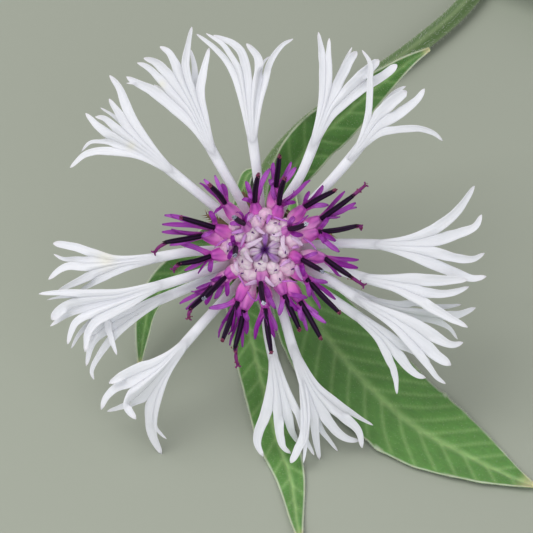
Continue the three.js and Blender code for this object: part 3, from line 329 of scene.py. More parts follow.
# Lobes that lie in over the closed florets: start, end, half width and how violet
STRAPS = [
    [[-3.3, 0.5], [-0.3, 2.1], 0.4, 0.1], [[-1.7, 3.9], [0.05, 2.6], 0.34, 0.3],
    [[2.9, 2.9], [0.95, 2.5], 0.34, 0.15], [[2.9, 2.5], [3.75, -0.8], 0.36, 0.05],
    [[-3.6, -0.1], [-1.95, -2.1], 0.36, 0.0], [[-4.9, -1.8], [-4.3, -3.8], 0.32, 0.15],
    [[4.4, 2.5], [6.4, 0.7], 0.42, 0.2], [[4.2, -1.6], [2.5, -2.8], 0.3, 0.5],
    [[5.2, -2.7], [6.4, -5.1], 0.38, 0.5], [[-0.2, -4.5], [1.6, -6.2], 0.36, 0.25],
    [[-1.2, -5.3], [-3.4, -5.9], 0.36, 0.35], [[-3.2, 2.6], [-4.1, 0.4], 0.26, 0.6],
    [[-3.6, 3.3], [-5.7, 2.8], 0.36, 0.7], [[1.0, 5.9], [0.25, 4.3], 0.34, 0.9],
    [[1.5, 5.5], [4.5, 4.6], 0.16, 1.0], [[-2.0, 6.0], [-3.1, 4.6], 0.34, 0.6],
    [[-1.4, 5.8], [-0.7, 4.6], 0.24, 0.5], [[5.6, 0.6], [4.4, 0.3], 0.26, 0.6],
    [[-6.1, 1.4], [-6.0, -0.3], 0.26, 0.5], [[2.4, 4.2], [2.4, 4.65], 0.14, 1.0],
    [[-6.8, 7.4], [-8.4, 6.0], 0.13, 1.0], [[-6.4, 1.8], [-8.4, 0.4], 0.17, 0.95],
    [[-4.5, -4.1], [-3.3, -6.2], 0.15, 0.9], [[-3.0, -6.9], [-1.5, -8.6], 0.13, 1.0],
    [[2.8, -5.2], [5.5, -5.4], 0.12, 1.0], [[6.5, 2.0], [8.7, -0.2], 0.16, 0.95],
]
# Shares of its length that a strap's first two points lie at, and its points' heights over the crown
STRAP = Sizes(
    columns=7, steps=16, thickness=0.1, widths=[1.0, 1.08, 1.1, 1.05, 0.95, 0.7, 0.28], bend=0.09, roll=25,
    shares=(-0.12, 0.1), heights=(-0.9, 0.05, 0.42, 0.12),
    gutter=0.3, crease=0.06,
)
# Hooked dark tips of the closed florets
HOOKS = [
    [1.7, 4.5], [-2.0, 2.9], [-4.6, 2.7], [-5.5, 2.1], [1.5, 2.6], [3.4, -0.4], [-3.8, -1.9], [-1.5, -3.4],
    [1.8, -3.4], [-3.8, -3.9], [4.6, -3.2], [-0.8, 5.2], [-6.2, -0.1], [5.6, 1.6], [2.5, -4.9], [-0.9, -2.3],
]
HOOK = Sizes(sunk=0.05, rise=0.3, radii=[0.14, 0.12, 0.07], reach=0.28, back=0.6, over=0.7)
STRAP_PALE = (0.85, 0.64, 0.86)
STRAP_LILAC = (0.68, 0.40, 0.80)
BUD_PALE = (0.82, 0.70, 0.77)
BUD_SEAM = (0.60, 0.38, 0.58)
BUD_TIP = (0.10, 0.015, 0.17)
# Petals of the youngest floret: angle in degrees, half width, length and how violet
STAR_PETALS = [
    [90, 0.5, 2.75, 1.0], [30, 0.72, 2.5, 0.25], [-8, 0.5, 2.1, 0.1], [-42, 0.58, 2.8, 0.85],
    [-90, 0.55, 2.0, 0.15], [-136, 0.55, 2.5, 0.8], [-172, 0.62, 2.5, 0.1], [142, 0.66, 2.4, 0.15],
]
# Its profile holds the share of the petal's length and the height
STAR = Sizes(
    columns=11, steps=18, thickness=0.2, widths=[0.8, 1.0, 1.05, 0.95, 0.55, 0.12],
    profile=[(0.86, 3.0), (1.0, 4.3), (0.9, 5.2), (0.55, 5.75), (0.24, 5.55), (0.03, 5.05)],
    inside=[0, 0, 3.5],
    arch=0.35,
)
STAR_PALE = (0.68, 0.56, 0.65)
STAR_VIOLET = (0.28, 0.08, 0.41)
STAR_DARK = (0.07, 0.008, 0.13)

# Involucre: the cup's radii and heights, and its rows of bracts
CUP_PROFILE = [[2.2, -21.6], [4.7, -20.3], [6.5, -17.8], [7.2, -14.4], [7.1, -11], [6.5, -7.4], [6.2, -4]]
CUP_MOUTH = [[5.9, -4], [5.2, -4.6], [5.2, -5.4], [0.02, -5.5]]
BRACT_ROWS = [
    Sizes(foot=-20, length=5.4, width=4.2, count=6, out=0.5),
    Sizes(foot=-16.8, length=6, width=4.8, count=7, out=0.5),
    Sizes(foot=-13, length=6.2, width=4.8, count=7, out=0.6),
    Sizes(foot=-9.3, length=5.6, width=4.2, count=8, out=1),
]
BRACT = Sizes(
    rings=17, columns=13, thickness=0.55, clear=0.32, keel=0.1, margin=0.55,
    widths=[0.86, 0.96, 1.0, 0.94, 0.78, 0.5, 0.16],
)
FRINGE = Sizes(
    count=13, first=0.34, radius=0.13, clear=0.12, inset=0.1, aside=1.1, ahead=0.55, outward=0.25,
    length=0.75, longer=0.5, vary=(0.85, 1.15),
)
FRINGED_TIPS = [[-3.9, 9.7, 1.3], [-9.8, 5.9, 0.8], [11.2, 2.6, 1.2]]  # place and half width
# A tip comes up between the florets, by distances from the axis and heights, and ends at its level
TIP = Sizes(
    rises=[(6.6, -5.4), (8.6, -4.4)], level=-3.0, steps=10, columns=7, thickness=0.3, bristle=0.12,
    bristles=(0.9, 1.3), widths=[1.0, 0.9, 0.75, 0.5, 0.2],
    gutter=0.3, bristled_from=2, inset=0.9, ahead=1.1, aside=0.8,
)
BRACT_GREEN = (0.115, 0.20, 0.055)
BRACT_LIGHT = (0.21, 0.30, 0.12)
BRACT_BROWN = (0.085, 0.045, 0.025)
FRINGE_BROWN = (0.20, 0.115, 0.06)
TIP_GREEN = (0.24, 0.25, 0.10)
TIP_TAN = (0.36, 0.22, 0.13)
TIP_BRISTLE = (0.34, 0.20, 0.12)

# Stem and leaves
STEM = Sizes(
    top=-22.05, into_cup=0.8, radius=1.9, under=0.06, sides=40, rings=420, ribs=5, furrow=0.055, crest=0.03,
    bend=36.7, bend_points=4, hairs=5200, hair=0.035, hair_sunk=0.22, lengths=(0.4, 0.8),
    hair_lean=0.6, hair_spread=0.25,
)
# Where the stem's middle line lies once it is down
STEM_LIE = [
    [0.8, 47, 1.95], [7, 58, 1.95], [18, 70, 1.95], [29, 81.5, 1.95], [39, 94, 1.95],
    [46.5, 109, 1.95], [50.3, 124, 1.95], [51, 138, 1.65], [51, 150, 1.65], [51, 163, 1.95],
]
STEM_GREEN = (0.10, 0.19, 0.05)
STEM_LIGHT = (0.24, 0.33, 0.15)
LEAF_GREEN = (0.070, 0.200, 0.032)
LEAF_LIGHT = (0.20, 0.36, 0.11)
LEAF_MARGIN = (0.60, 0.66, 0.50)
LEAF_TIP = (0.62, 0.56, 0.30)
HAIR = (0.72, 0.75, 0.68)
FACE_HAIR = (0.5, 0.56, 0.42)
LEAF = Sizes(
    rings=200, columns=41, top=0.05, thickness=0.35, keel=0.4, wave=0.45, waves=3.5, ragged=0.012,
    veins=4.6, slant=1.25, shift=0.35, cushion=0.16, into_stem=0.62,
    narrowest=0.3, knots=60, crease=0.02, rim=0.85, keel_half=0.5, vein_half=0.3, midrib=(0.25, 0.05),
)
PLAIN, PAINTED_LIGHT = (1, 1, 1), (1.45, 1.35, 1.5)  # painted light: how much a leaf's colours are lightened, as if it lay in brighter light
# Dense counts the hairs to a millimetre of blade, and a pair in ahead or up is a lean and how much it varies
MARGIN_HAIRS = Sizes(
    dense=11, lengths=(0.2, 0.5), radius=0.014, inset=0.05, below=0.06, ahead=(0.5, 0.4), up=(0.15, 0.4),
)
FACE_HAIRS = Sizes(dense=24, lengths=(0.2, 0.45), radius=0.013, up=0.5, ahead=(0.6, 0.5), aside=0.6)


def seen(points):
    """Places of head points as read from straight in front, so that what lies deeper is set wider out."""
    points = np.asarray(points, float)
    u, v, w = points[..., 0:1], points[..., 1:2], points[..., 2:3]
    spread = (EYE - w) / EYE
    return HEAD + RIGHT * u * spread + UP * v * spread + AXIS * w


def laid(points):
    """Points on or over the surface, counted from the foot of the head's middle."""
    return np.asarray(points, float) + [HEAD[0], HEAD[1], 0]


# Leaves: the way a blade faces, how far it is folded, its middle line and its widths from foot to tip
LEAVES = [
    Sizes(
        node="leaf_1", facing=AXIS, fold=0.16, pale=PLAIN,
        spine=[
            laid([0.6, 27.9, 7.2]),
            *seen([[4.6, 13.5, -28], [8.2, 18.2, -24], [11.7, 21.2, -20]]),
            *seen([[20.1, 28.5, -13], [24.2, 31.6, -10], [27.4, 33.5, -8]]),
        ],
        widths=[2.6, 5.2, 7.8, 8.3, 7.6, 5.6, 3.2, 0.7],
    ),
    Sizes(
        node="leaf_2", facing=np.array([-0.25, -0.5, 0.8]), fold=0.5, pale=PLAIN,
        spine=[
            *laid([[-1.6, 35.6, 5], [-5, 27, 8.6]]),
            *seen([[-12, -2, -22], [-17, -6.2, -20], [-19.4, -10, -19]]),
            *seen([[-20.4, -15, -18.6], [-20.9, -19.5, -18.9]]),
        ],
        widths=[2.4, 4, 6, 6.8, 6.6, 5.4, 3.3, 0.7],
    ),
    Sizes(
        node="leaf_3", facing=SKYWARD, fold=0.04, pale=PAINTED_LIGHT,
        spine=[
            *laid([[-2.9, 47, 1.5], [-4.7, 36, 0.9], [-5.2, 22, 0.5], [-2.6, 6.6, 0.4]]),
            *laid([[1.6, -15.8, 0.4], [4.2, -26, 0.4], [5.3, -36, 0.6], [5.9, -40.5, 1.3]]),
        ],
        widths=[2.2, 3.2, 4.6, 6, 7, 7, 6.6, 4, 0.7],
    ),
    Sizes(
        node="leaf_4", facing=SKYWARD, fold=0.1, pale=PAINTED_LIGHT,
        spine=[
            *laid([[3.6, 44, 1.5], [4.6, 36, 1.1], [5.3, 28, 0.8], [7, 17, 0.5], [11.5, 5, 0.4]]),
            *laid([[24.1, -13.3, 0.4], [35, -22, 0.45], [41, -26, 0.6], [44.8, -28.4, 1.1]]),
        ],
        widths=[2.4, 4.6, 9.5, 15, 18, 18.2, 16.5, 10.5, 0.8],
    ),
    Sizes(
        node="leaf_5", facing=SKYWARD, fold=0.28, pale=PLAIN,
        spine=[
            *laid([[42.4, 101.6, 4.5], [48, 99, 6.4], [58, 95, 8.6], [70, 89.5, 8.2]]),
            *laid([[82, 81.5, 4.4], [89, 75.5, 1.6], [92.5, 72, 0.4]]),
        ],
        widths=[2.6, 5.4, 9.4, 11.6, 11.4, 8, 3.8, 0.8],
    ),
    Sizes(
        node="leaf_6", facing=SKYWARD, fold=0.28, pale=PLAIN,
        spine=[
            *laid([[49.6, 123, 4.5], [44, 121.6, 6.6], [34, 119, 9], [22, 115, 8.6]]),
            *laid([[11, 110, 5], [3, 105.6, 1.8], [-0.6, 103.6, 0.4]]),
        ],
        widths=[2.6, 5, 8.6, 10.4, 10, 7, 3.4, 0.8],
    ),
]


# Curves, blends and directions


def unit(vectors):
    return vectors / np.linalg.norm(vectors, axis=-1, keepdims=True)


def smooth(x):
    """Rises gently from nothing at 0 to one at 1."""
    x = np.clip(x, 0, 1)
    return x * x * (3 - 2 * x)


def ramp(x, start, stretch):
    """Rises gently from nothing at the start to one at the end of the stretch."""
    return smooth((x - start) / stretch)


def bump(x, width):
    """One at nought, and falling away to both sides."""
    return np.exp(-((x / width) ** 2))


def mix(low, high, share):
    """Goes from low to high, with a share for each point and the last axis left to the colour or place."""
    share = np.asarray(share, float)[..., None]
    return np.asarray(low) * (1 - share) + np.asarray(high) * share


def eased(values, t):
    """A smooth curve through values that are spread evenly from 0 to 1."""
    values = np.array(values, float)
    place = np.clip(t, 0, 1) * (len(values) - 1)
    i = np.minimum(place.astype(int), len(values) - 2)
    f = place - i
    padded = np.concatenate([[2 * values[0] - values[1]], values, [2 * values[-1] - values[-2]]])
    a, b, c, d = padded[i], padded[i + 1], padded[i + 2], padded[i + 3]
    return b + 0.5 * f * (c - a + f * (2 * a - 5 * b + 4 * c - d + f * (3 * (b - c) + d - a)))


def shares(count):
    return np.linspace(0, 1, count)


def columns(count):
    """Even places across a blade, from -1 at its left edge to 1 at its right edge."""
    return np.linspace(-1, 1, count)


def around(count):
    return 2 * math.pi * np.arange(count) / count


def distances(points):
    """How far along its points a line has come at each of them."""
    return np.concatenate([[0], np.cumsum(np.linalg.norm(np.diff(points, axis=0), axis=1))])


def dense_route(points, parts=24):
    """A centripetal curve through the points, as many close points and their distances along it."""
    points = np.array(points, float)
    ends = np.vstack([2 * points[0] - points[1], points, 2 * points[-1] - points[-2]])
    t = np.linspace(0, 1, parts, endpoint=False)[:, None]
    pieces = []
    for p0, p1, p2, p3 in zip(ends, ends[1:], ends[2:], ends[3:]):
        d0, d1, d2 = (np.sqrt(np.linalg.norm(b - a)) for a, b in ((p0, p1), (p1, p2), (p2, p3)))
        t1 = ((p1 - p0) / d0 - (p2 - p0) / (d0 + d1) + (p2 - p1) / d1) * d1
        t2 = ((p2 - p1) / d1 - (p3 - p1) / (d1 + d2) + (p3 - p2) / d2) * d1
        pieces.append(p1 + t1 * t + (3 * (p2 - p1) - 2 * t1 - t2) * t**2 + (2 * (p1 - p2) + t1 + t2) * t**3)
    close = np.vstack(pieces + [points[-1:]])
    return close, distances(close)


def route(points, stations=None, steps=None):
    """Places and directions on the curve through the points, at given distances or in even steps."""
    close, along = dense_route(points)
    if stations is None:
        stations = np.linspace(0, along[-1], steps + 1)
    places = np.stack([np.interp(stations, along, axis) for axis in close.T], -1)
    return places, unit(np.gradient(places, axis=0))


def point_on(line, share):
    """A point at a share of the way along straight pieces."""
    line = np.array(line, float)
    along = distances(line)
    return np.array([np.interp(share * along[-1], along, axis) for axis in line.T])


def swept(points, steps, facing):
    """Places on the curve through the points, with the directions to the side and to the face."""
    places, ahead = route(points, steps=steps)
    side = unit(np.cross(ahead, facing))
    return places, side, np.cross(side, ahead)


def turned(ahead, degrees, t):
    """Directions to the side and up for a blade that rolls about its line in its first half."""
    flat = unit(np.column_stack([ahead[:, 1], -ahead[:, 0], np.zeros(len(t))]) + 1e-9)
    out = np.cross(flat, ahead)
    roll = np.radians(degrees) * smooth(t / 0.5)[:, None]
    return np.cos(roll) * flat + np.sin(roll) * out, np.cos(roll) * out - np.sin(roll) * flat


# Meshes

GOLDEN = (1 + math.sqrt(5)) / 2
ICO_CORNERS = [[s, t * GOLDEN, 0] for s in (-1, 1) for t in (-1, 1)]
ICO_CORNERS += [[0, s, t * GOLDEN] for s in (-1, 1) for t in (-1, 1)]
ICO_CORNERS += [[t * GOLDEN, 0, s] for s in (-1, 1) for t in (-1, 1)]
ICO_POINTS = unit(np.array(ICO_CORNERS))


def ico_faces():
    near = np.linalg.norm(ICO_POINTS[:, None] - ICO_POINTS[None], axis=-1)
    touching = (near > 0) & (near < near[near > 0].min() * 1.01)
    corners = range(len(ICO_POINTS))
    pairs = [(i, j) for i in corners for j in corners if i < j and touching[i, j]]
    third = touching[:, None] & touching[None]
    return np.array([(i, j, k) for i, j in pairs for k in corners if j < k and third[i, j, k]])


ICO_FACES = ico_faces()


def placed(name, data):
    """An object in the scene for a mesh, a lamp or a camera."""
    piece = bpy.data.objects.new(name, data)
    bpy.context.collection.objects.link(piece)
    return piece


class Shape:
    """Closed skins, spikes and grains that will be one mesh, with a tint and a mark at each point."""

    def __init__(self):
        self.points = []
        self.marks = []
        self.tints = []
        self.faces = []
        self.kinds = []
        self.count = 0

    def add(self, points, marks, tints, faces, kind):
        self.faces.extend((np.asarray(part) + self.count).tolist() for part in faces)
        self.kinds.extend([kind] * len(faces))
        self.points.append(points)
        self.marks.append(np.broadcast_to(marks, (len(points), 2)))
        self.tints.append(np.broadcast_to(tints, (len(points), 3)))
        self.count += len(points)

    def skin(self, rings, marks, tints, kind=0):
        """Skins rows of rings, with a flat cap at each end."""
        rows, count = rings.shape[:2]
        ring = np.arange(count)
        start = count * np.arange(rows - 1)[:, None]
        after = (ring + 1) % count
        quads = np.stack([start + ring, start + after, start + count + after, start + count + ring], -1)
        faces = list(quads.reshape(-1, 4)) + [ring[::-1], count * (rows - 1) + ring]
        tints = np.broadcast_to(tints, rings.shape)
        self.add(rings.reshape(-1, 3), marks.reshape(-1, 2), tints.reshape(-1, 3), faces, kind)

    def spikes(self, feet, tips, radius, tint, kind=0):
        """Three-sided spikes, one for each foot and tip."""
        ahead = unit(tips - feet)
        other = np.where(np.abs(ahead[:, 2:3]) < 0.9, SKYWARD, RIGHT)
        side = unit(np.cross(ahead, other))
        face = np.cross(side, ahead)
        corners = [feet + radius * (math.cos(a) * side + math.sin(a) * face) for a in (0, 2.094, 4.189)]
        points = np.stack(corners + [tips], 1).reshape(-1, 3)
        base = 4 * np.arange(len(feet))[:, None]
        faces = [base + np.array(face) for face in ((0, 2, 1), (0, 1, 3), (1, 2, 3), (2, 0, 3))]
        self.add(points, (0, 0), tint, list(np.concatenate(faces)), kind)

    def hairs(self, feet, aim, lengths, radius, tint, rng):
        """Spikes that point along their aims, with lengths drawn between the two given."""
        self.spikes(feet, feet + aim * rng.uniform(*lengths, (len(feet), 1)), radius, tint)

    def grains(self, centres, radii, tint, kind):
        points = centres[:, None] + ICO_POINTS[None] * radii[:, None, None]
        faces = (len(ICO_POINTS) * np.arange(len(centres)))[:, None, None] + ICO_FACES[None]
        self.add(points.reshape(-1, 3), (0, 0), tint, list(faces.reshape(-1, 3)), kind)

    def make(self, name, node, slot, *materials):
        """One object of all that was added, with nothing below the surface."""
        points = np.concatenate(self.points)
        points[:, 2] = np.maximum(points[:, 2], 0.0)
        mesh = bpy.data.meshes.new(name)
        mesh.from_pydata((points * MM).tolist(), [], self.faces)
        mesh.polygons.foreach_set("material_index", self.kinds)
        mesh.polygons.foreach_set("use_smooth", [True] * len(self.faces))
        corners = np.empty(len(mesh.loops), int)
        mesh.loops.foreach_get("vertex_index", corners)
        layer = mesh.uv_layers.new(name="UVMap")
        layer.data.foreach_set("uv", np.concatenate(self.marks)[corners].ravel())
        tint = mesh.color_attributes.new("tint", "FLOAT_COLOR", "POINT")
        colours = np.concatenate(self.tints)
        tint.data.foreach_set("color", np.column_stack([colours, np.ones(len(colours))]).ravel())
        shape = bmesh.new()
        shape.from_mesh(mesh)
        bmesh.ops.recalc_face_normals(shape, faces=shape.faces)
        shape.to_mesh(mesh)
        shape.free()
        piece = placed(name, mesh)
        for material in materials:
            mesh.materials.append(material)
        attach(piece, "root")
        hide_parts(node)


def ribbon(shape, centre, half, up, lift, thickness, along, tints, place=seen):
    """A thin closed blade, from the middle, half width, facing and lift across of each station."""
    a = columns(lift.shape[1])
    top = centre[:, None] + half[:, None] * a[None, :, None] + up[:, None] * lift[..., None]
    rim = np.sqrt(1 - (0.93 * a) ** 2) * thickness
    low = top - up[:, None] * rim[None, :, None]
    across = np.linalg.norm(half, axis=1)[:, None] * a
    marks = np.stack([across, np.broadcast_to(along[:, None], across.shape)], -1)
    both_sides(shape, place(top), place(low), marks, np.broadcast_to(tints, top.shape))


def both_sides(shape, top, low, marks, tints, low_tints=None):
    """Skins a blade round its upper and lower face, in rings that run back along the lower one."""
    low_tints = tints if low_tints is None else low_tints
    pairs = ((top, low), (marks, marks), (tints, low_tints))
    shape.skin(*(np.concatenate([upper, lower[:, ::-1]], 1) for upper, lower in pairs))


def tube_rings(places, side, face, wide, high, out):
    """Rings round a line, as wide and high as told; out scales the radius at each of its even angles."""
    angles = around(len(out))
    x = wide[:, None] * np.cos(angles) * out
    y = high[:, None] * np.sin(angles) * out
    rings = places[:, None] + side[:, None] * x[..., None] + face[:, None] * y[..., None]
    girth = np.broadcast_to(wide[:, None] * angles, x.shape)
    return rings, np.stack([girth, np.broadcast_to(distances(places)[:, None], x.shape)], -1)


# Materials


def tinted(name, roughness, streak, vary, relief, grain=(0.0, 1.0), sockets=()):
    """A finish coloured by each point's tint, which noise drawn out along the piece varies."""
    material = bpy.data.materials.new(name)
    material.use_nodes = True
    tree = material.node_tree

    def fill(node, inputs):
        """Sets a node's inputs: another node's output is linked, and anything else is a value."""
        for key, value in inputs.items():
            if isinstance(value, bpy.types.NodeSocket):
                tree.links.new(value, node.inputs[key])
            else:
                node.inputs[key].default_value = value

    def made(kind, output, inputs, **settings):
        node = tree.nodes.new("ShaderNode" + kind)
        for key, value in settings.items():
            setattr(node, key, value)
        fill(node, inputs)
        return node.outputs[output]

    def noise(vector, scale, detail):
        return made("TexNoise", "Fac", {"Vector": vector, "Scale": scale, "Detail": detail})

    marks = made("UVMap", "UV", {}, uv_map="UVMap")
    places = made("TexCoord", "Object", {})
    streaks = noise(made("Mapping", "Vector", {"Vector": marks, "Scale": (*streak, 1)}), 1.0, 3.0)
    patches = made("Math", 0, {0: noise(places, PATCH_SCALE, 4.0), 1: 0.5}, operation="MULTIPLY")
    blend = made("Math", 0, {0: streaks, 1: 0.5, 2: patches}, operation="MULTIPLY_ADD")
    bright = made("Math", 0, {0: blend, 1: 2 * vary, 2: 1 - vary}, operation="MULTIPLY_ADD")
    tint = made("Attribute", "Color", {}, attribute_name="tint")
    colour = made("VectorMath", "Vector", {0: tint, "Scale": bright}, operation="SCALE")
    normal = made("Bump", "Normal", {"Strength": relief[0], "Distance": relief[1] * MM, "Height": streaks})
    if grain[0]:
        fine = {"Strength": grain[0], "Distance": GRAIN_DEPTH * MM, "Height": noise(places, grain[1], 2.0)}
        normal = made("Bump", "Normal", {**fine, "Normal": normal})
    shader = tree.nodes["Principled BSDF"]
    fill(shader, {"Base Color": colour, "Roughness": roughness, "Normal": normal, **dict(sockets)})
    return material


def ray_petal():
    light = {"Subsurface Weight": 0.3, "Subsurface Scale": 0.0006, "Subsurface Radius": (1.0, 0.95, 0.9)}
    light["Specular IOR Level"] = 0.3
    return tinted("Ray petal", 0.5, (3.2, 0.16), 0.07, (0.28, 0.12), (0.06, 5200.0), light)


def disc_petal():
    light = {"Subsurface Weight": 0.35, "Subsurface Scale": 0.0008, "Subsurface Radius": (1.0, 0.6, 0.9)}
    light["Specular IOR Level"] = 0.35
    return tinted("Disc petal", 0.5, (5.0, 0.5), 0.14, (0.3, 0.1), (0.05, 5200.0), light)


def anther():
    return tinted("Anther", 0.55, (14.0, 0.4), 0.45, (0.6, 0.12), sockets={"Specular IOR Level": 0.14})


def pollen_grain():
    return tinted("Pollen", 0.8, (9.0, 9.0), 0.35, (0.6, 0.1))


def bract_skin():
    return tinted("Bract", 0.6, (4.0, 0.5), 0.22, (0.35, 0.15), (0.12, 2600.0), {"Sheen Weight": 0.2})


def stem_skin():
    return tinted("Stem skin", 0.55, (3.0, 0.25), 0.2, (0.3, 0.15), (0.1, 3000.0), {"Sheen Weight": 0.3})


def leaf_blade():
    light = {"Subsurface Weight": 0.1, "Subsurface Scale": 0.0006, "Sheen Weight": 0.25}
    return tinted("Leaf blade", 0.55, (1.6, 0.7), 0.42, (0.35, 0.2), (0.25, 1900.0), light)


# Ray florets


def ray_tube(shape, floret, rng):
    """A slim tube from the hub to a flat tongue under the lobes, with a shallow dent along its top."""
    first, *rest = floret.tube
    root = unit(np.array(first, float)) * RAY_HUB.root_radius
    lift = floret.lift
    points = [[*root, RAY_HUB.root_height], [*first, RAY_HUB.rise]] + [[*p, lift] for p in rest]
    last = np.array(rest[-1], float)
    fall = TUBE.dive + TUBE.fall * max(0, lift - np.mean([tip for _, tip, *_ in floret.lobes]))
    points.append([*(last + unit(last - rest[-2]) * TUBE.past), lift - fall])
    places, side, face = swept(seen(points), TUBE.rings, AXIS)
    t = shares(len(places))
    plain = np.ones(TUBE.sides)
    rings, marks = tube_rings(places, side, face, eased(TUBE.wide, t), eased(TUBE.high, t), plain)
    dent = TUBE.dent * ramp(t, *TUBE.dent_begins) * (1 - ramp(t, *TUBE.dent_ends))
    dent = (dent[:, None] * bump(around(TUBE.sides) - math.pi / 2, TUBE.dent_half))[..., None]
    # Painted shade darkens the tube along its dent
    tints = mix(RAY_ROOT, RAY_WHITE, ramp(t, 0.1, 0.26))[:, None] * (1 - 0.3 * dent)
    shape.skin(rings - face[:, None] * dent, marks + rng.uniform(0, 90, 2), tints)


def ray_lines(floret, row):
    """The lobes' middle lines from inside the tube to their tips, with heights and half widths along them."""
    begin = point_on(floret.tube, FAN.begin)
    throat = point_on(floret.tube, TUBE.throat)
    lead = np.linalg.norm(throat - begin)
    lobes = []
    for number, (width, tip, *line) in enumerate(row):
        widths = RAY_BLUNT if number in floret.blunt else RAY_WIDTHS
        path = [begin, throat, *line]
        length = dense_route(path)[1][-1]
        along = np.append(np.arange(0, length - FAN.step / 2, FAN.step), length)
        places, ahead = route(path, along)
        share = np.clip((along - lead) / (length - lead), 0, 1)
        lobes.append(Sizes(
            tip=tip, along=along, share=share, line=places,
            rightward=np.stack([ahead[:, 1], -ahead[:, 0]], -1),
            w=floret.lift + (tip - floret.lift) * share**RAY_LOBE.bow,
            half=RAY_LOBE.broad * width / 2 * eased(widths, share) * rounded(share, RAY_LOBE.round),
        ))
    return lobes, throat, unit(throat - begin)


def rounded(share, end):
    """Falls from one to nothing over the last stretch, as a rounded tip does."""
    return np.sqrt(np.clip(1 - np.clip((share - 1 + end) / end, 0, 0.97) ** 2, 0, 1))


def part_lobes(lobes, throat, right):
    """Sorts the lobes from left to right, and takes out those that lie mostly behind a nearer one."""

    def lean(lobe):
        return float(unit(lobe.line[int(FAN.sorted_at * len(lobe.line))] - throat) @ right)

    row = sorted(lobes, key=lean)
    behind = []
    i = 0
    while i < len(row) - 1:
        a, b = row[i], row[i + 1]
        k = int(FAN.compared_at * min(len(a.line), len(b.line)))
        if np.linalg.norm(a.line[k] - b.line[k]) < FAN.behind * (a.half[k] + b.half[k]):
            deeper = a if a.tip < b.tip else b
            row = [lobe for lobe in row if lobe is not deeper]
            behind.append(deeper)
            i = max(i - 1, 0)
        else:
            i += 1
    return row, behind


def ray_edges(lobe, half, offset, right, rng):
    """A lobe's own two edges: a shallow gutter that starts on the tube and turns a little about its line."""
    share = lobe.share
    free = ramp(share, 0.35, 0.4)
    roll = math.tan(math.radians(rng.uniform(-RAY_LOBE.roll, RAY_LOBE.roll))) * free * lobe.half
    gutter = rng.uniform(*RAY_LOBE.gutter) * free * lobe.half
    curl = rng.uniform(*RAY_LOBE.curl) * ramp(share, 0.72, 0.28) ** 2
    arch = FAN.arch * math.sqrt(1 - (offset / FAN.half) ** 2)
    arch = arch * (1 - smooth(lobe.along / FAN.flat))
    out = smooth(lobe.along / FAN.emerge)
    lobe.middle_w = lobe.w + curl + arch + FAN.proud * out - FAN.sunk * (1 - out)
    near = 1 - smooth(share / 0.4)
    within = near * (FAN.narrow + (1 - FAN.narrow) * out)
    lobe.half = lobe.half * (1 - near) + half * within
    lobe.line = lobe.line + right * (offset * within)[:, None]
    lobe.edges, lobe.joins = {}, {}
    for name, sign in (("left", -1), ("right", 1)):
        ragged = RAY_LOBE.ragged * free * eased(rng.normal(0, 1, RAY_LOBE.knots), share)
        edge = lobe.line + sign * lobe.rightward * (lobe.half * (1 + ragged))[:, None]
        lobe.edges[name] = np.column_stack([edge, lobe.middle_w - arch + gutter + sign * roll])
        lobe.joins[name] = np.zeros(len(free))


def join_neighbours(a, b):
    """Until two lobes part they share one edge, with a soft groove along it."""
    count = min(len(a.line), len(b.line))
    gap = np.linalg.norm(a.line[:count] - b.line[:count], axis=1)
    width = a.half[:count] + b.half[:count]
    share = np.maximum(a.share[:count], b.share[:count])
    parted = (gap >= FAN.part * width) & (share >= FAN.earliest)
    parted |= share >= FAN.latest
    notch = int(np.argmax(parted)) if parted.any() else count - 1
    own = smooth(FAN.step * (np.arange(count) - notch) / FAN.blend)
    slim = np.clip(width / (2 * RAY_LOBE.slim), 0, 1) ** 2 * ramp(share, 0.08, 0.35)
    level = (a.middle_w[:count] + b.middle_w[:count]) / 2 - RAY_LOBE.groove * slim
    shared = np.column_stack([(a.line[:count] + b.line[:count]) / 2, level])
    for lobe, name in ((a, "right"), (b, "left")):
        lobe.edges[name][:count] = mix(shared, lobe.edges[name][:count], own)
        lobe.joins[name][:count] = 1 - own


def ray_lobe(shape, lobe, rng, depth=0.0, start=0):
    """The blade of one lobe from a station on, with a soft rib in its middle, and set in by a depth."""
    share, along, middle_w = (values[start:] for values in (lobe.share, lobe.along, lobe.middle_w))
    left, right = (lobe.edges[name][start:] for name in ("left", "right"))
    left_join, right_join = (lobe.joins[name][start:] for name in ("left", "right"))
    a = columns(RAY_LOBE.columns)
    slim = np.clip(lobe.half[start:] / RAY_LOBE.slim, 0, 1) ** 2 * ramp(share, 0.08, 0.35)
    middle_w = middle_w + RAY_LOBE.rib * np.maximum(left_join, right_join) * slim
    centre, half = (left + right) / 2, (right - left) / 2
    centre[:, 2] -= depth
    lift = (middle_w - (left[:, 2] + right[:, 2]) / 2)[:, None] * (1 - a**2)
    veined = smooth(share / 0.3) * (1 - ramp(share, 0.8, 0.2))
    lift += RAY_LOBE.vein * np.cos(3 * math.pi * a)[None] * veined[:, None]
    # Painted shade: the lobe is greyed along the grooves where it joins its neighbours
    groove = bump(1 + a, 0.5) * left_join[:, None] + bump(1 - a, 0.5) * right_join[:, None]
    groove = np.clip(groove, 0, 1) * slim[:, None]
    # A random tone per lobe, with painted shade on lobes set in deeper and painted light on lobes in front
    tone_and_depth_shade = rng.uniform(0.97, 1.02) * (1 - 0.06 * depth)
    tints = mix(RAY_WHITE, RAY_GROOVE_SHADE, 0.25 * groove) * tone_and_depth_shade
    for u, v, radius in CREAM_SPOTS:
        away = np.linalg.norm((centre[:, None] + half[:, None] * a[None, :, None])[..., :2] - [u, v], axis=-1)
        tints = mix(tints, RAY_CREAM, 0.45 * bump(away, radius))
    tints = mix(tints, RAY_TIP, 0.5 * ramp(share, 0.9, 0.1)[:, None])
    up = np.tile(FRONT, (len(share), 1))
    ribbon(shape, centre, half, up, lift, RAY_LOBE.thickness, along + rng.uniform(0, 90), tints)


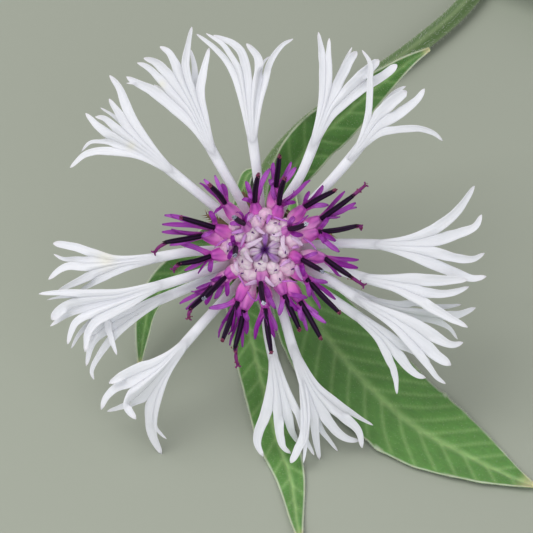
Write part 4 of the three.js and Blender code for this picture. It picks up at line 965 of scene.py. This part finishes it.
def ray_floret(shape, number, floret):
    """A tube, its fan of joined lobes, and the lobes that lie behind the fan or cross in front of it."""
    rng = np.random.default_rng(100 + number)
    ray_tube(shape, floret, rng)
    lobes, throat, ahead = ray_lines(floret, floret.lobes)
    right = np.array([ahead[1], -ahead[0]])
    row, behind = part_lobes(lobes, throat, right)
    count = len(row)
    for j, lobe in enumerate(row):
        ray_edges(lobe, FAN.half / count, FAN.half * (2 * j + 1 - count) / count, right, rng)
    for a, b in zip(row, row[1:]):
        join_neighbours(a, b)
    for lobe in row:
        ray_lobe(shape, lobe, rng)
    over = ray_lines(floret, floret.over)[0]
    for loose, how in ((behind, BEHIND), (over, OVER)):
        for lobe in loose:
            ray_edges(lobe, FAN.half / 3, 0.0, right, rng)
            ray_lobe(shape, lobe, rng, how.depth, int(np.argmax(lobe.share > how.start)))


def ray_florets():
    shape = Shape()
    for number, floret in enumerate(RAYS):
        ray_floret(shape, number, floret)
    shape.make("Ray_florets", "ray_florets", "ray_white", ray_petal())


# Disc florets


def disc_lobe(shape, mouth, height, top, tip, i, rng):
    """A strap that arches up from the bell's mouth and out to its tip, and passes under the anther column."""
    toward = unit(tip - mouth)
    bow = height + DISC_LOBE.bow + DISC_LOBE.bow_step * (i % 3)
    bow -= DISC_LOBE.under * ramp(toward @ unit(top - mouth), 0.7, 0.25)
    root = mouth + toward * DISC_LOBE.from_mouth
    aside = np.array([-toward[1], toward[0]]) * rng.uniform(-DISC_LOBE.aside, DISC_LOBE.aside)
    middle = (root + tip) / 2 + aside
    line = [
        [*root, height - DISC_LOBE.sunk],
        [*middle, bow + DISC_LOBE.arch],
        [*tip, bow - DISC_LOBE.droop],
    ]
    centre, ahead = route(line, steps=DISC_LOBE.rings - 1)
    t = shares(len(centre))
    a = columns(DISC_LOBE.columns)
    if rng.random() < DISC_LOBE.twisted:
        turn = rng.uniform(*DISC_LOBE.twist) * rng.choice([-1, 1])
    else:
        turn = rng.uniform(-DISC_LOBE.roll, DISC_LOBE.roll)
    side, up = turned(ahead, turn, t)
    half = eased(DISC_WIDTHS, t) * rng.uniform(*DISC_LOBE.vary)
    lift = rng.uniform(*DISC_LOBE.gutter) * half[:, None] * a**2
    lift = lift - DISC_LOBE.end * (ramp(t, 0.85, 0.15) * rng.uniform(*DISC_LOBE.curl))[:, None]
    edge = 0.8 * ramp(np.abs(a), 0.5, 0.45) + 0.4 * bump(a, 0.16)
    petal = mix(DISC_VIOLET, DISC_LIGHT, 0.85 * rng.random() ** 1.5)
    tints = mix(DISC_ORCHID, petal, ramp(t, 0.1, 0.35))[:, None]
    tints = mix(tints, DISC_VIOLET, 0.8 * edge[None] * smooth(t / 0.2)[:, None])
    tints = mix(tints, DISC_DOT, 0.85 * ramp(t, 0.93, 0.05)[:, None])
    along = t * 6 + rng.uniform(0, 90)
    ribbon(shape, centre, side * half[:, None], up, lift, DISC_LOBE.thickness, along, tints)


def bell(shape, mouth, height, rng, pale):
    """A bell on a slim tube, closed over by the foot of its lobes; pale sets a painted highlight on one side.
    """
    line = seen([[*(mouth * BELL.root), BELL.foot], [*mouth, height]])
    places, side, face = swept(line, BELL.rings, UP)
    t = shares(len(places))
    radii = eased(BELL_RADII, t)
    ahead = unit(places[-1] - places[-2])
    places = np.vstack([places] + [places[-1:] + ahead * over for _, over in BELL_TOP])
    radii = np.concatenate([radii, [radii[-1] * share for share, _ in BELL_TOP]])
    side, face = (np.vstack([v] + [v[-1:]] * len(BELL_TOP)) for v in (side, face))
    turn = rng.uniform(0, 2 * math.pi)
    angles = around(BELL.sides)
    fluted = np.cos(5 * angles + turn)
    rings, marks = tube_rings(places, side, face, radii, radii, 1 - (BELL.flute * fluted + BELL.slimmer))
    t = np.append(t, np.ones(len(BELL_TOP)))[:, None]
    # Painted highlight: one side of the bell, turned at random, is paler and less pink
    pink_outside_highlight = 1 - pale * (0.55 + 0.45 * np.cos(angles + turn))
    tints = mix(DISC_PALE, DISC_PINK, pink_outside_highlight * ramp(t, 0.2, 0.5))
    tints = mix(tints, DISC_ORCHID, (0.3 + 0.7 * pink_outside_highlight) * ramp(t, 0.45, 0.4))
    fibre = rng.uniform(0, 1, BELL.sides)
    tints = mix(tints, DISC_SEAM, 0.5 * fibre * ramp(t, 0.35, 0.4))
    tints = mix(tints, DISC_VIOLET, (0.35 + 0.4 * (0.5 + 0.5 * fluted) ** 3) * ramp(t, 0.66, 0.32))
    shape.skin(rings, marks + rng.uniform(0, 90, 2), tints)


def anther_column(shape, start, end, rng):
    """A dark ribbed column of joined anthers, with their five points round the top."""
    across = unit(np.cross(end - start, AXIS))
    middle = (start + end) / 2 + across * rng.uniform(-COLUMN.bend, COLUMN.bend) + AXIS * COLUMN.forward
    places, side, face = swept([start, middle, end], COLUMN.rings, NEARLY_UP)
    radii = eased(COLUMN.radii, shares(len(places)))
    ribbed = np.cos(5 * around(COLUMN.sides))
    rings, marks = tube_rings(places, side, face, radii, radii, 1 - COLUMN.groove * ribbed)
    shape.skin(rings, marks + rng.uniform(0, 90, 2), mix(ANTHER, ANTHER_RIDGE, 0.5 - 0.5 * ribbed), DARK)
    ahead = unit(places[-1] - places[-2])
    angles = 2 * math.pi * (np.arange(5) + 0.5) / 5
    spokes = side[-1] * np.cos(angles)[:, None] + face[-1] * np.sin(angles)[:, None]
    feet = places[-1] + spokes * ANTHER_TIP.spread - ahead * ANTHER_TIP.sunk
    tips = feet + ahead * ANTHER_TIP.length - spokes * ANTHER_TIP.inward
    shape.spikes(feet, tips, ANTHER_TIP.radius, ANTHER, DARK)
    return places[-1], ahead


def thread(shape, points, radii, tint, sides=8, steps=8):
    places, side, face = swept(points, steps, NEARLY_UP)
    radii = eased(radii, shares(len(places)))
    shape.skin(*tube_rings(places, side, face, radii, radii, np.ones(sides)), tint)


def style_end(shape, top, ahead, end, pollen, rng):
    """The style pushes out of the column, forks, and carries pollen; a short one only shows its pollen."""
    if end is None:
        count = STYLE_END.short_grains
        away = unit(rng.normal(0, 1, (count, 3))) * rng.uniform(*STYLE_END.short_spread, (count, 1))
        spots = top + ahead * STYLE_END.pollen_over + away
        shape.grains(spots, rng.uniform(*STYLE_END.short_grain, count), pollen, POLLEN)
        return
    line = [top - ahead * STYLE_END.sunk, (top + end) / 2 + ahead * STYLE_END.bow, end]
    thread(shape, line, STYLE_END.radii, STYLE)
    out = unit(end - top)
    across = unit(np.cross(out, AXIS))
    for sign in (-1, 1):
        tip = end + out * STYLE_END.fork + across * sign * STYLE_END.wide
        tip = tip + AXIS * rng.uniform(*STYLE_END.fork_lift)
        bend = end + out * STYLE_END.past + across * sign * STYLE_END.fork_bend
        line = [end - out * STYLE_END.fork_foot, bend, tip]
        thread(shape, line, STYLE_END.fork_radii, STYLE)
    count = STYLE_END.grains
    reach = rng.uniform(0, 1, (count, 1))
    spots = top * (1 - reach) + (end + out * STYLE_END.past) * reach
    spots = spots + rng.normal(0, STYLE_END.scatter, (count, 3))
    shape.grains(spots, rng.uniform(*STYLE_END.grain, count), pollen, POLLEN)


def open_floret(shape, number, foot, top, lobes):
    """A bell with its anther column, its style and pollen, and its narrow lobes."""
    rng = np.random.default_rng(300 + number)
    foot, top = np.array(foot, float), np.array(top)
    reach = np.linalg.norm(foot)
    mouth = foot * min(1, BELL.reach / reach)
    height = BELL.height + (BELL.lifted if reach < BELL.raised_reach else 0)
    lean = np.linalg.norm(foot - top)
    tall = height + math.sqrt(max(COLUMN.length ** 2 - lean**2, COLUMN.rise ** 2))
    # How strong the painted highlight down one side of the bell is, strongest near the middle
    pale = BELL.pale[1] if reach < BELL.raised_reach else rng.uniform(*BELL.pale)
    bell(shape, mouth, height, rng, pale)
    start, end = seen([*mouth, height - COLUMN.sunk]), seen([*top, tall + COLUMN.sunk])
    end, ahead = anther_column(shape, start, end, rng)
    style = seen([*STYLE_ENDS[number], tall - COLUMN.sunk]) if number in STYLE_ENDS else None
    style_end(shape, end, ahead, style, PALE_POLLEN.get(number, PINK_POLLEN), rng)
    for i, tip in enumerate(lobes):
        disc_lobe(shape, mouth, height, top, np.array(tip), i, rng)


def crown(reach):
    """Height of the florets' tops over the head's middle, at a distance from its axis."""
    return np.interp(reach, CROWN_STEP * np.arange(len(CROWN)), CROWN)


def dome(shape, u, v, radius, pink, rng):
    """A closed floret: five pale petals pressed together into a blunt dome."""
    reach = math.hypot(u, v)
    outward = RIGHT * u / reach + UP * v / reach
    axis = unit(AXIS + outward * DOME.lean * reach)
    turn = rng.uniform(0, math.pi)
    side = unit(np.cross(axis, UP)) * math.cos(turn) + UP * math.sin(turn)
    side = unit(side - axis * (side @ axis))
    stretch = rng.uniform(*DOME.stretch)
    heights = np.array(DOME.heights)
    radii = np.array(DOME.radii) * radius
    seam = np.abs(np.cos(2.5 * around(DOME.sides) + rng.uniform(0, 2 * math.pi))) ** 6
    places = seen([u, v, crown(reach)]) + axis * heights[:, None]
    side, face = (np.tile(way, (len(heights), 1)) for way in (side, np.cross(side, axis)))
    wide, high = radii * stretch, radii / math.sqrt(stretch)
    rings, marks = tube_rings(places, side, face, wide, high, 1 - DOME.groove * seam)
    tints = mix(mix(BUD_PALE, DISC_PINK, 0.5 * pink), BUD_SEAM, 0.5 * seam)
    tints = mix(tints, DISC_PINK, 0.55 * ramp(-heights, 0.5, 1.6)[:, None])
    shape.skin(rings, marks + rng.uniform(0, 90, 2), tints)


def hook(shape, u, v, rng):
    """The dark tip of a petal, curled over on itself."""
    turn = rng.uniform(0, 2 * math.pi)
    aim = HOOK.reach * np.array([math.cos(turn), math.sin(turn), 0])
    foot = np.array([u, v, crown(math.hypot(u, v)) - HOOK.sunk])
    line = [foot - aim * HOOK.back, foot + [0, 0, HOOK.rise], foot + aim + [0, 0, HOOK.rise * HOOK.over]]
    thread(shape, seen(line), HOOK.radii, BUD_TIP, sides=6, steps=5)


def strap(shape, start, end, half, violet, rng):
    """A lobe that lies in over the closed florets, with a dark tip."""
    start, end = np.array(start), np.array(end)
    levels = [crown(np.linalg.norm(p)) for p in (start, (start + end) / 2, end)]
    across = np.array([start[1] - end[1], end[0] - start[0]])
    middle = (start + end) / 2 + STRAP.bend * across * rng.uniform(-1, 1)
    places = [*(start + share * (end - start) for share in STRAP.shares), middle, end]
    levels = [levels[0], *levels]
    line = [[*place, level + over] for place, level, over in zip(places, levels, STRAP.heights)]
    centre, ahead = route(line, steps=STRAP.steps)
    t = shares(len(centre))
    a = columns(STRAP.columns)
    side, up = turned(ahead, rng.uniform(-STRAP.roll, STRAP.roll), t)
    width = half * eased(STRAP.widths, t)
    lift = -STRAP.gutter * width[:, None] * a**2 - STRAP.crease * bump(a, 0.25)
    body = mix(STRAP_PALE, mix(STRAP_LILAC, DISC_LIGHT, violet), min(1, violet * 1.3))
    edge = 0.5 * (0.35 + violet) * ramp(np.abs(a), 0.4, 0.6)
    tints = mix(body, STRAP_LILAC if violet < 0.4 else DISC_VIOLET, edge)
    tints = mix(tints, DISC_PINK, 0.45 * (1 - smooth(t / 0.4))[:, None])
    tints = mix(tints, BUD_TIP, ramp(t, 0.94, 0.04)[:, None])
    along = t * 5 + rng.uniform(0, 90)
    ribbon(shape, centre, side * width[:, None], up, lift, STRAP.thickness, along, tints)


def star_petal(shape, degrees, half_width, length, violet, rng):
    """A petal of the youngest floret, which rises from outside and turns in to the dark middle."""
    angle = math.radians(degrees)
    outward = np.array([math.cos(angle), math.sin(angle)])
    across = np.array([-outward[1], outward[0], 0])
    line = [[*(outward * length * share), height] for share, height in STAR.profile]
    centre, ahead = route(line, steps=STAR.steps)
    t = shares(len(centre))
    a = columns(STAR.columns)
    half = half_width * eased(STAR.widths, t)
    up = unit(np.cross(ahead, np.tile(across, (len(t), 1))))
    up *= np.where(np.sum(up * (centre - STAR.inside), axis=1) < 0, -1, 1)[:, None]
    lift = STAR.arch * half[:, None] * (1 - a**2)
    vein = bump(a, 0.3) * ramp(t, 0.25, 0.4)[:, None]
    lines = (0.5 + 0.5 * np.cos(9 * a)) * ramp(t, 0.3, 0.3)[:, None]
    tints = mix(STAR_PALE, STAR_VIOLET, violet * (0.35 + 0.55 * ramp(t, 0.3, 0.4)))[:, None]
    tints = mix(tints, STAR_VIOLET, np.clip((0.3 + 0.6 * violet) * vein + 0.2 * lines, 0, 1))
    tints = mix(tints, STAR_DARK, ramp(t, 0.7, 0.16)[:, None])
    along = t * 6 + rng.uniform(0, 90)
    ribbon(shape, centre, across * half[:, None], up, lift, STAR.thickness, along, tints)


def revolved(shape, profile, tint, rng, sides=48):
    """A solid of revolution about the head's axis, from radii and heights."""
    profile = np.array(profile, float)
    angles = around(sides)
    spokes = RIGHT * np.cos(angles)[:, None] + UP * np.sin(angles)[:, None]
    rings = HEAD + AXIS * profile[:, None, 1:2] + spokes[None] * profile[:, None, 0:1]
    marks = np.stack(np.broadcast_arrays(angles[None] * 6, profile[:, 1:2]), -1) + rng.uniform(0, 90, 2)
    shape.skin(rings, marks, tint)


def disc_florets():
    shape = Shape()
    rng = np.random.default_rng(7)
    revolved(shape, DISC_CORE, DISC_FLESH, rng)
    for build, rows in ((star_petal, STAR_PETALS), (dome, DOMES), (strap, STRAPS), (hook, HOOKS)):
        for row in rows:
            build(shape, *row, rng)
    for number, floret in enumerate(OPEN_FLORETS):
        open_floret(shape, number, *floret)
    shape.make("Disc_florets", "disc_florets", "disc_purple", disc_petal(), anther(), pollen_grain())


# Involucre


def cup_radius(heights):
    radii, levels = np.array(CUP_PROFILE).T
    return np.interp(heights, levels, radii)


def bract_form(row, t):
    """Height, half width and distance from the axis of a bract at shares of its length."""
    heights = row.foot + row.length * t
    return heights, row.width / 2 * eased(BRACT.widths, t), cup_radius(heights) + row.out * t**3


def bract(shape, angle, row, rng):
    """A leathery green scale with a dark margin that is cut into a fringe."""
    outward = RIGHT * math.cos(angle) + UP * math.sin(angle)
    across = np.cross(AXIS, outward)
    t = shares(BRACT.rings)[:, None]
    a = columns(BRACT.columns)
    heights, half, reach = bract_form(row, t)
    centre = HEAD + AXIS * heights + outward * (reach + BRACT.clear)
    lift = -(half**2) * a**2 / (2 * cup_radius(heights)) + BRACT.keel * bump(a, 0.12) * (1 - t**3)
    rim = np.maximum(smooth((np.abs(a) * half - half + BRACT.margin) / 0.35), ramp(t, 0.82, 0.12))
    green = np.array(BRACT_GREEN) * rng.uniform(0.85, 1.15)
    tints = mix(green, BRACT_LIGHT, 0.35 * (0.5 + 0.5 * np.cos(14 * a)))
    tints = mix(tints, BRACT_BROWN, rim * ramp(t, 0.15, 0.3))
    up = np.tile(outward, (len(t), 1))
    along = t[:, 0] * 6 + rng.uniform(0, 90)
    ribbon(shape, centre, across * half, up, lift, BRACT.thickness, along, tints, place=np.asarray)
    fringe(shape, outward, across, row, rng)


def fringe(shape, outward, across, row, rng):
    """Bristles down both margins of a bract, which turn towards its tip."""
    t = np.linspace(FRINGE.first, 1.0, FRINGE.count)[:, None]
    heights, half, reach = bract_form(row, t)
    reach = reach + FRINGE.clear - half**2 / (2 * cup_radius(heights))
    lean = ramp(t, 0.3, 0.7)
    for sign in (-1, 1):
        feet = HEAD + AXIS * heights + outward * reach + across * (sign * (half - FRINGE.inset))
        aim = across * sign * (FRINGE.aside - lean) + AXIS * (FRINGE.ahead + lean)
        aim = unit(aim + outward * FRINGE.outward) * (FRINGE.length + FRINGE.longer * t)
        shape.hairs(feet, aim, FRINGE.vary, FRINGE.radius, FRINGE_BROWN, rng)


def fringed_tip(shape, u, v, width, rng):
    """A bract tip that shows between the florets: a tan scale with a comb of bristles."""
    outward = unit(np.array([u, v]))
    line = [[*(outward * reach), height] for reach, height in TIP.rises] + [[u, v, TIP.level]]
    centre, ahead = route(line, steps=TIP.steps)
    t = shares(len(centre))
    a = columns(TIP.columns)
    half = width * eased(TIP.widths, t)[:, None]
    across = np.array([-outward[1], outward[0], 0])
    tints = mix(TIP_GREEN, TIP_TAN, smooth(t / 0.7)[:, None])
    up = np.tile(FRONT, (len(t), 1))
    ribbon(shape, centre, across * half, up, -TIP.gutter * a**2 * half, TIP.thickness, t * 5, tints)
    centre, ahead, half = (values[TIP.bristled_from:] for values in (centre, ahead, half))
    for sign in (-1, 1):
        feet = centre + across * (sign * half * TIP.inset)
        aim = unit(ahead * TIP.ahead + across * sign * TIP.aside)
        tips = feet + aim * rng.uniform(*TIP.bristles, (len(feet), 1))
        shape.spikes(seen(feet), seen(tips), TIP.bristle, TIP_BRISTLE)


def involucre():
    shape = Shape()
    rng = np.random.default_rng(11)
    profile = [[0.02, CUP_PROFILE[0][1]], *CUP_PROFILE, *CUP_MOUTH]
    revolved(shape, profile, np.array(BRACT_GREEN) * 0.8, rng, sides=56)
    for i, row in enumerate(BRACT_ROWS):
        for j in range(row.count):
            bract(shape, 2 * math.pi * (j + (i % 2) / 2) / row.count, row, rng)
    for tip in FRINGED_TIPS:
        fringed_tip(shape, *tip, rng)
    shape.make("Involucre", "involucre", "bract_green", bract_skin())


# Stem


def stem_points():
    """The stem's middle line: straight out of the head, round a bend and along the surface."""
    arc = []
    for slope in TILT * (1 - shares(STEM.bend_points + 1)):
        back = STEM.bend * (math.sin(TILT) - math.sin(slope))
        down = STEM.bend * (math.cos(slope) - math.cos(TILT))
        arc.append(HEAD + AXIS * STEM.top + np.array([0, back, -down]))
    return arc + list(laid(STEM_LIE))


def stem():
    """A ribbed and grooved stem with short hairs all round."""
    shape = Shape()
    rng = np.random.default_rng(21)
    points = stem_points()
    points = [points[0] + AXIS * STEM.into_cup] + points
    places, side, face = swept(points, STEM.rings, SKYWARD)
    radii = np.full(len(places), STEM.radius - STEM.under)
    ribs, angles = STEM.ribs, around(STEM.sides)
    crest = np.abs(np.cos(ribs * angles / 2))
    grooved = 1 - (STEM.furrow * (1 - np.cos(ribs * angles)) - STEM.crest * crest**12)
    rings, marks = tube_rings(places, side, face, radii, radii, grooved)
    shape.skin(rings, marks, mix(STEM_GREEN, STEM_LIGHT, 0.7 * crest**4))
    count = STEM.hairs
    i = rng.integers(2, len(places) - 2, count)
    angle = rng.uniform(0, 2 * math.pi, count)
    out = side[i] * np.cos(angle)[:, None] + face[i] * np.sin(angle)[:, None]
    feet = places[i] + out * (STEM.radius - STEM.hair_sunk)
    ahead = np.cross(face[i], side[i])
    aim = out + ahead * rng.normal(0, STEM.hair_lean, (count, 1))
    aim = unit(aim + rng.normal(0, STEM.hair_spread, (count, 3)))
    shape.hairs(feet, aim, STEM.lengths, STEM.hair, HAIR, rng)
    shape.make("Stem", "stem", "stem_green", stem_skin())


# Leaves


def leaf(blade, line, finish):
    """A folded blade with a waved edge, veins with soft cushions between them, and hairs round its margin."""
    shape = Shape()
    rng = np.random.default_rng(40 + len(blade.node) + int(blade.node[-1]))
    first, *rest = blade.spine
    close = dense_route(line)[0]
    nearest = close[np.argmin(np.linalg.norm(close - first, axis=1))]
    foot = first + (nearest - first) * LEAF.into_stem
    places, side, face = swept([foot, first, *rest], LEAF.rings, blade.facing)
    along = distances(places)
    lead = np.linalg.norm(first - foot)
    t = np.clip((along - lead) / (along[-1] - lead), 0, 1)
    half = np.maximum(eased(blade.widths, t), LEAF.narrowest)[:, None] / 2
    a = columns(LEAF.columns)
    knots = np.linspace(0, along[-1], LEAF.knots)
    ragged = 1 + LEAF.ragged * np.interp(along, knots, rng.normal(0, 1, LEAF.knots))
    across = half * ragged[:, None] * a
    wave = LEAF.wave * np.sin(2 * math.pi * LEAF.waves * t) * np.sin(math.pi * t)
    phase = (along[:, None] - LEAF.slant * np.abs(across)) / LEAF.veins + LEAF.shift * (a > 0)
    gap = np.abs(phase - np.round(phase)) * LEAF.veins * 0.62
    fade = smooth(half / 2.5) * smooth((1 - np.abs(a)) / 0.12)
    vein = bump(gap, LEAF.vein_half) * fade
    midrib = bump(across, LEAF.midrib[0] + LEAF.midrib[1] * half)
    cushion = LEAF.cushion * np.clip(gap / (LEAF.veins * 0.31), 0, 1) * fade * smooth(half / 4)
    crease = np.sqrt(a**2 + LEAF.crease) - math.sqrt(LEAF.crease)
    lift = half * crease * math.sin(blade.fold) + wave[:, None] * a**3 + cushion - LEAF.cushion * midrib
    top = places[:, None] + side[:, None] * (across * math.cos(blade.fold))[..., None]
    top = top + face[:, None] * (lift + LEAF.top)[..., None]
    rim = LEAF.thickness * np.sqrt(1 - (LEAF.rim * a) ** 2)
    keel = LEAF.keel * np.minimum(1, half / 2) * bump(across, LEAF.keel_half)
    low = top - face[:, None] * (rim + keel)[..., None]
    marks = np.stack([across, np.broadcast_to(along[:, None], across.shape)], -1)
    tints = mix(LEAF_GREEN, LEAF_LIGHT, np.clip(0.55 * vein + 0.85 * midrib, 0, 1))
    # Painted light: some leaves are lightened as though they lay in brighter light
    tints = tints * blade.pale
    tints = mix(tints, LEAF_MARGIN, 0.8 * smooth((np.abs(across) - half + 0.38) / 0.22))
    tints = mix(tints, LEAF_TIP, 0.8 * ramp(t, 0.955, 0.045)[:, None])
    under = mix(np.array(LEAF_GREEN) * 1.5, LEAF_LIGHT, np.clip(vein + midrib, 0, 1))
    both_sides(shape, top, low, marks, tints, under)
    leaf_hairs(shape, top, side, face, along[-1], rng)
    shape.make(blade.node.capitalize(), blade.node, "leaf_green", finish)


def leaf_hairs(shape, top, side, face, length, rng):
    """Short pale hairs: thick along both margins, thin over the upper face."""
    rows, last = top.shape[0], top.shape[1] - 1
    count = int(length * MARGIN_HAIRS.dense)
    for edge, sign in ((0, -1), (last, 1)):
        i = rng.integers(1, rows - 1, count)
        feet = top[i, edge] - side[i] * sign * MARGIN_HAIRS.inset - face[i] * MARGIN_HAIRS.below
        ahead = unit(top[i + 1, edge] - top[i - 1, edge])
        aim = side[i] * sign + ahead * rng.normal(*MARGIN_HAIRS.ahead, (count, 1))
        aim = aim + face[i] * rng.normal(*MARGIN_HAIRS.up, (count, 1))
        shape.hairs(feet, unit(aim), MARGIN_HAIRS.lengths, MARGIN_HAIRS.radius, HAIR, rng)
    count = int(length * FACE_HAIRS.dense)
    i, j = rng.integers(2, rows - 2, count), rng.integers(1, last, count)
    ahead = np.cross(face[i], side[i])
    aim = face[i] * FACE_HAIRS.up + ahead * rng.normal(*FACE_HAIRS.ahead, (count, 1))
    aim = aim + side[i] * rng.normal(0, FACE_HAIRS.aside, (count, 1))
    shape.hairs(top[i, j], unit(aim), FACE_HAIRS.lengths, FACE_HAIRS.radius, FACE_HAIR, rng)


def leaves():
    finish = leaf_blade()
    line = stem_points()
    for blade in LEAVES:
        leaf(blade, line, finish)


# Setting


def camera():
    data = bpy.data.cameras.new("Camera")
    piece = placed("Camera", data)
    piece.location = Vector((HEAD + AXIS * EYE) * MM)
    piece.rotation_euler = Vector(-AXIS).to_track_quat("-Z", "Y").to_euler()
    data.sensor_width = SENSOR
    data.lens = SENSOR * EYE * PIXELS_PER_MM / IMAGE_SIDE
    data.clip_start = 0.01
    data.shift_x = (IMAGE_SIDE / 2 - HEAD_PIXEL[0]) / IMAGE_SIDE
    data.shift_y = (HEAD_PIXEL[1] - IMAGE_SIDE / 2) / IMAGE_SIDE
    bpy.context.scene.camera = piece


def floor():
    mesh = bpy.data.meshes.new("Floor")
    s = FLOOR.half_side
    mesh.from_pydata([(-s, -s, 0), (s, -s, 0), (s, s, 0), (-s, s, 0)], [], [(0, 1, 2, 3)])
    material = bpy.data.materials.new("Plain floor")
    material.use_nodes = True
    shader = material.node_tree.nodes["Principled BSDF"]
    shader.inputs["Base Color"].default_value = (*FLOOR.colour, 1)
    shader.inputs["Roughness"].default_value = FLOOR.roughness
    mesh.materials.append(material)
    placed("Floor", mesh)


def lamp(name, offset, size, power, colour):
    """A square lamp that looks at the head, at an offset from it in metres."""
    data = bpy.data.lights.new(name, "AREA")
    data.size = size
    data.energy = power
    data.color = colour
    piece = placed(name, data)
    target = Vector(HEAD * MM)
    piece.location = target + Vector(offset)
    piece.rotation_euler = (piece.location - target).to_track_quat("Z", "Y").to_euler()


def sky():
    world = bpy.data.worlds.new("Studio")
    world.use_nodes = True
    background = world.node_tree.nodes["Background"]
    background.inputs["Color"].default_value = (*SKY.colour, 1)
    background.inputs["Strength"].default_value = SKY.strength
    bpy.context.scene.world = world


def setting():
    camera()
    floor()
    for row in LAMPS:
        lamp(*row)
    sky()
    bpy.context.scene.view_settings.view_transform = "Standard"


setting()
ray_florets()
disc_florets()
involucre()
stem()
leaves()
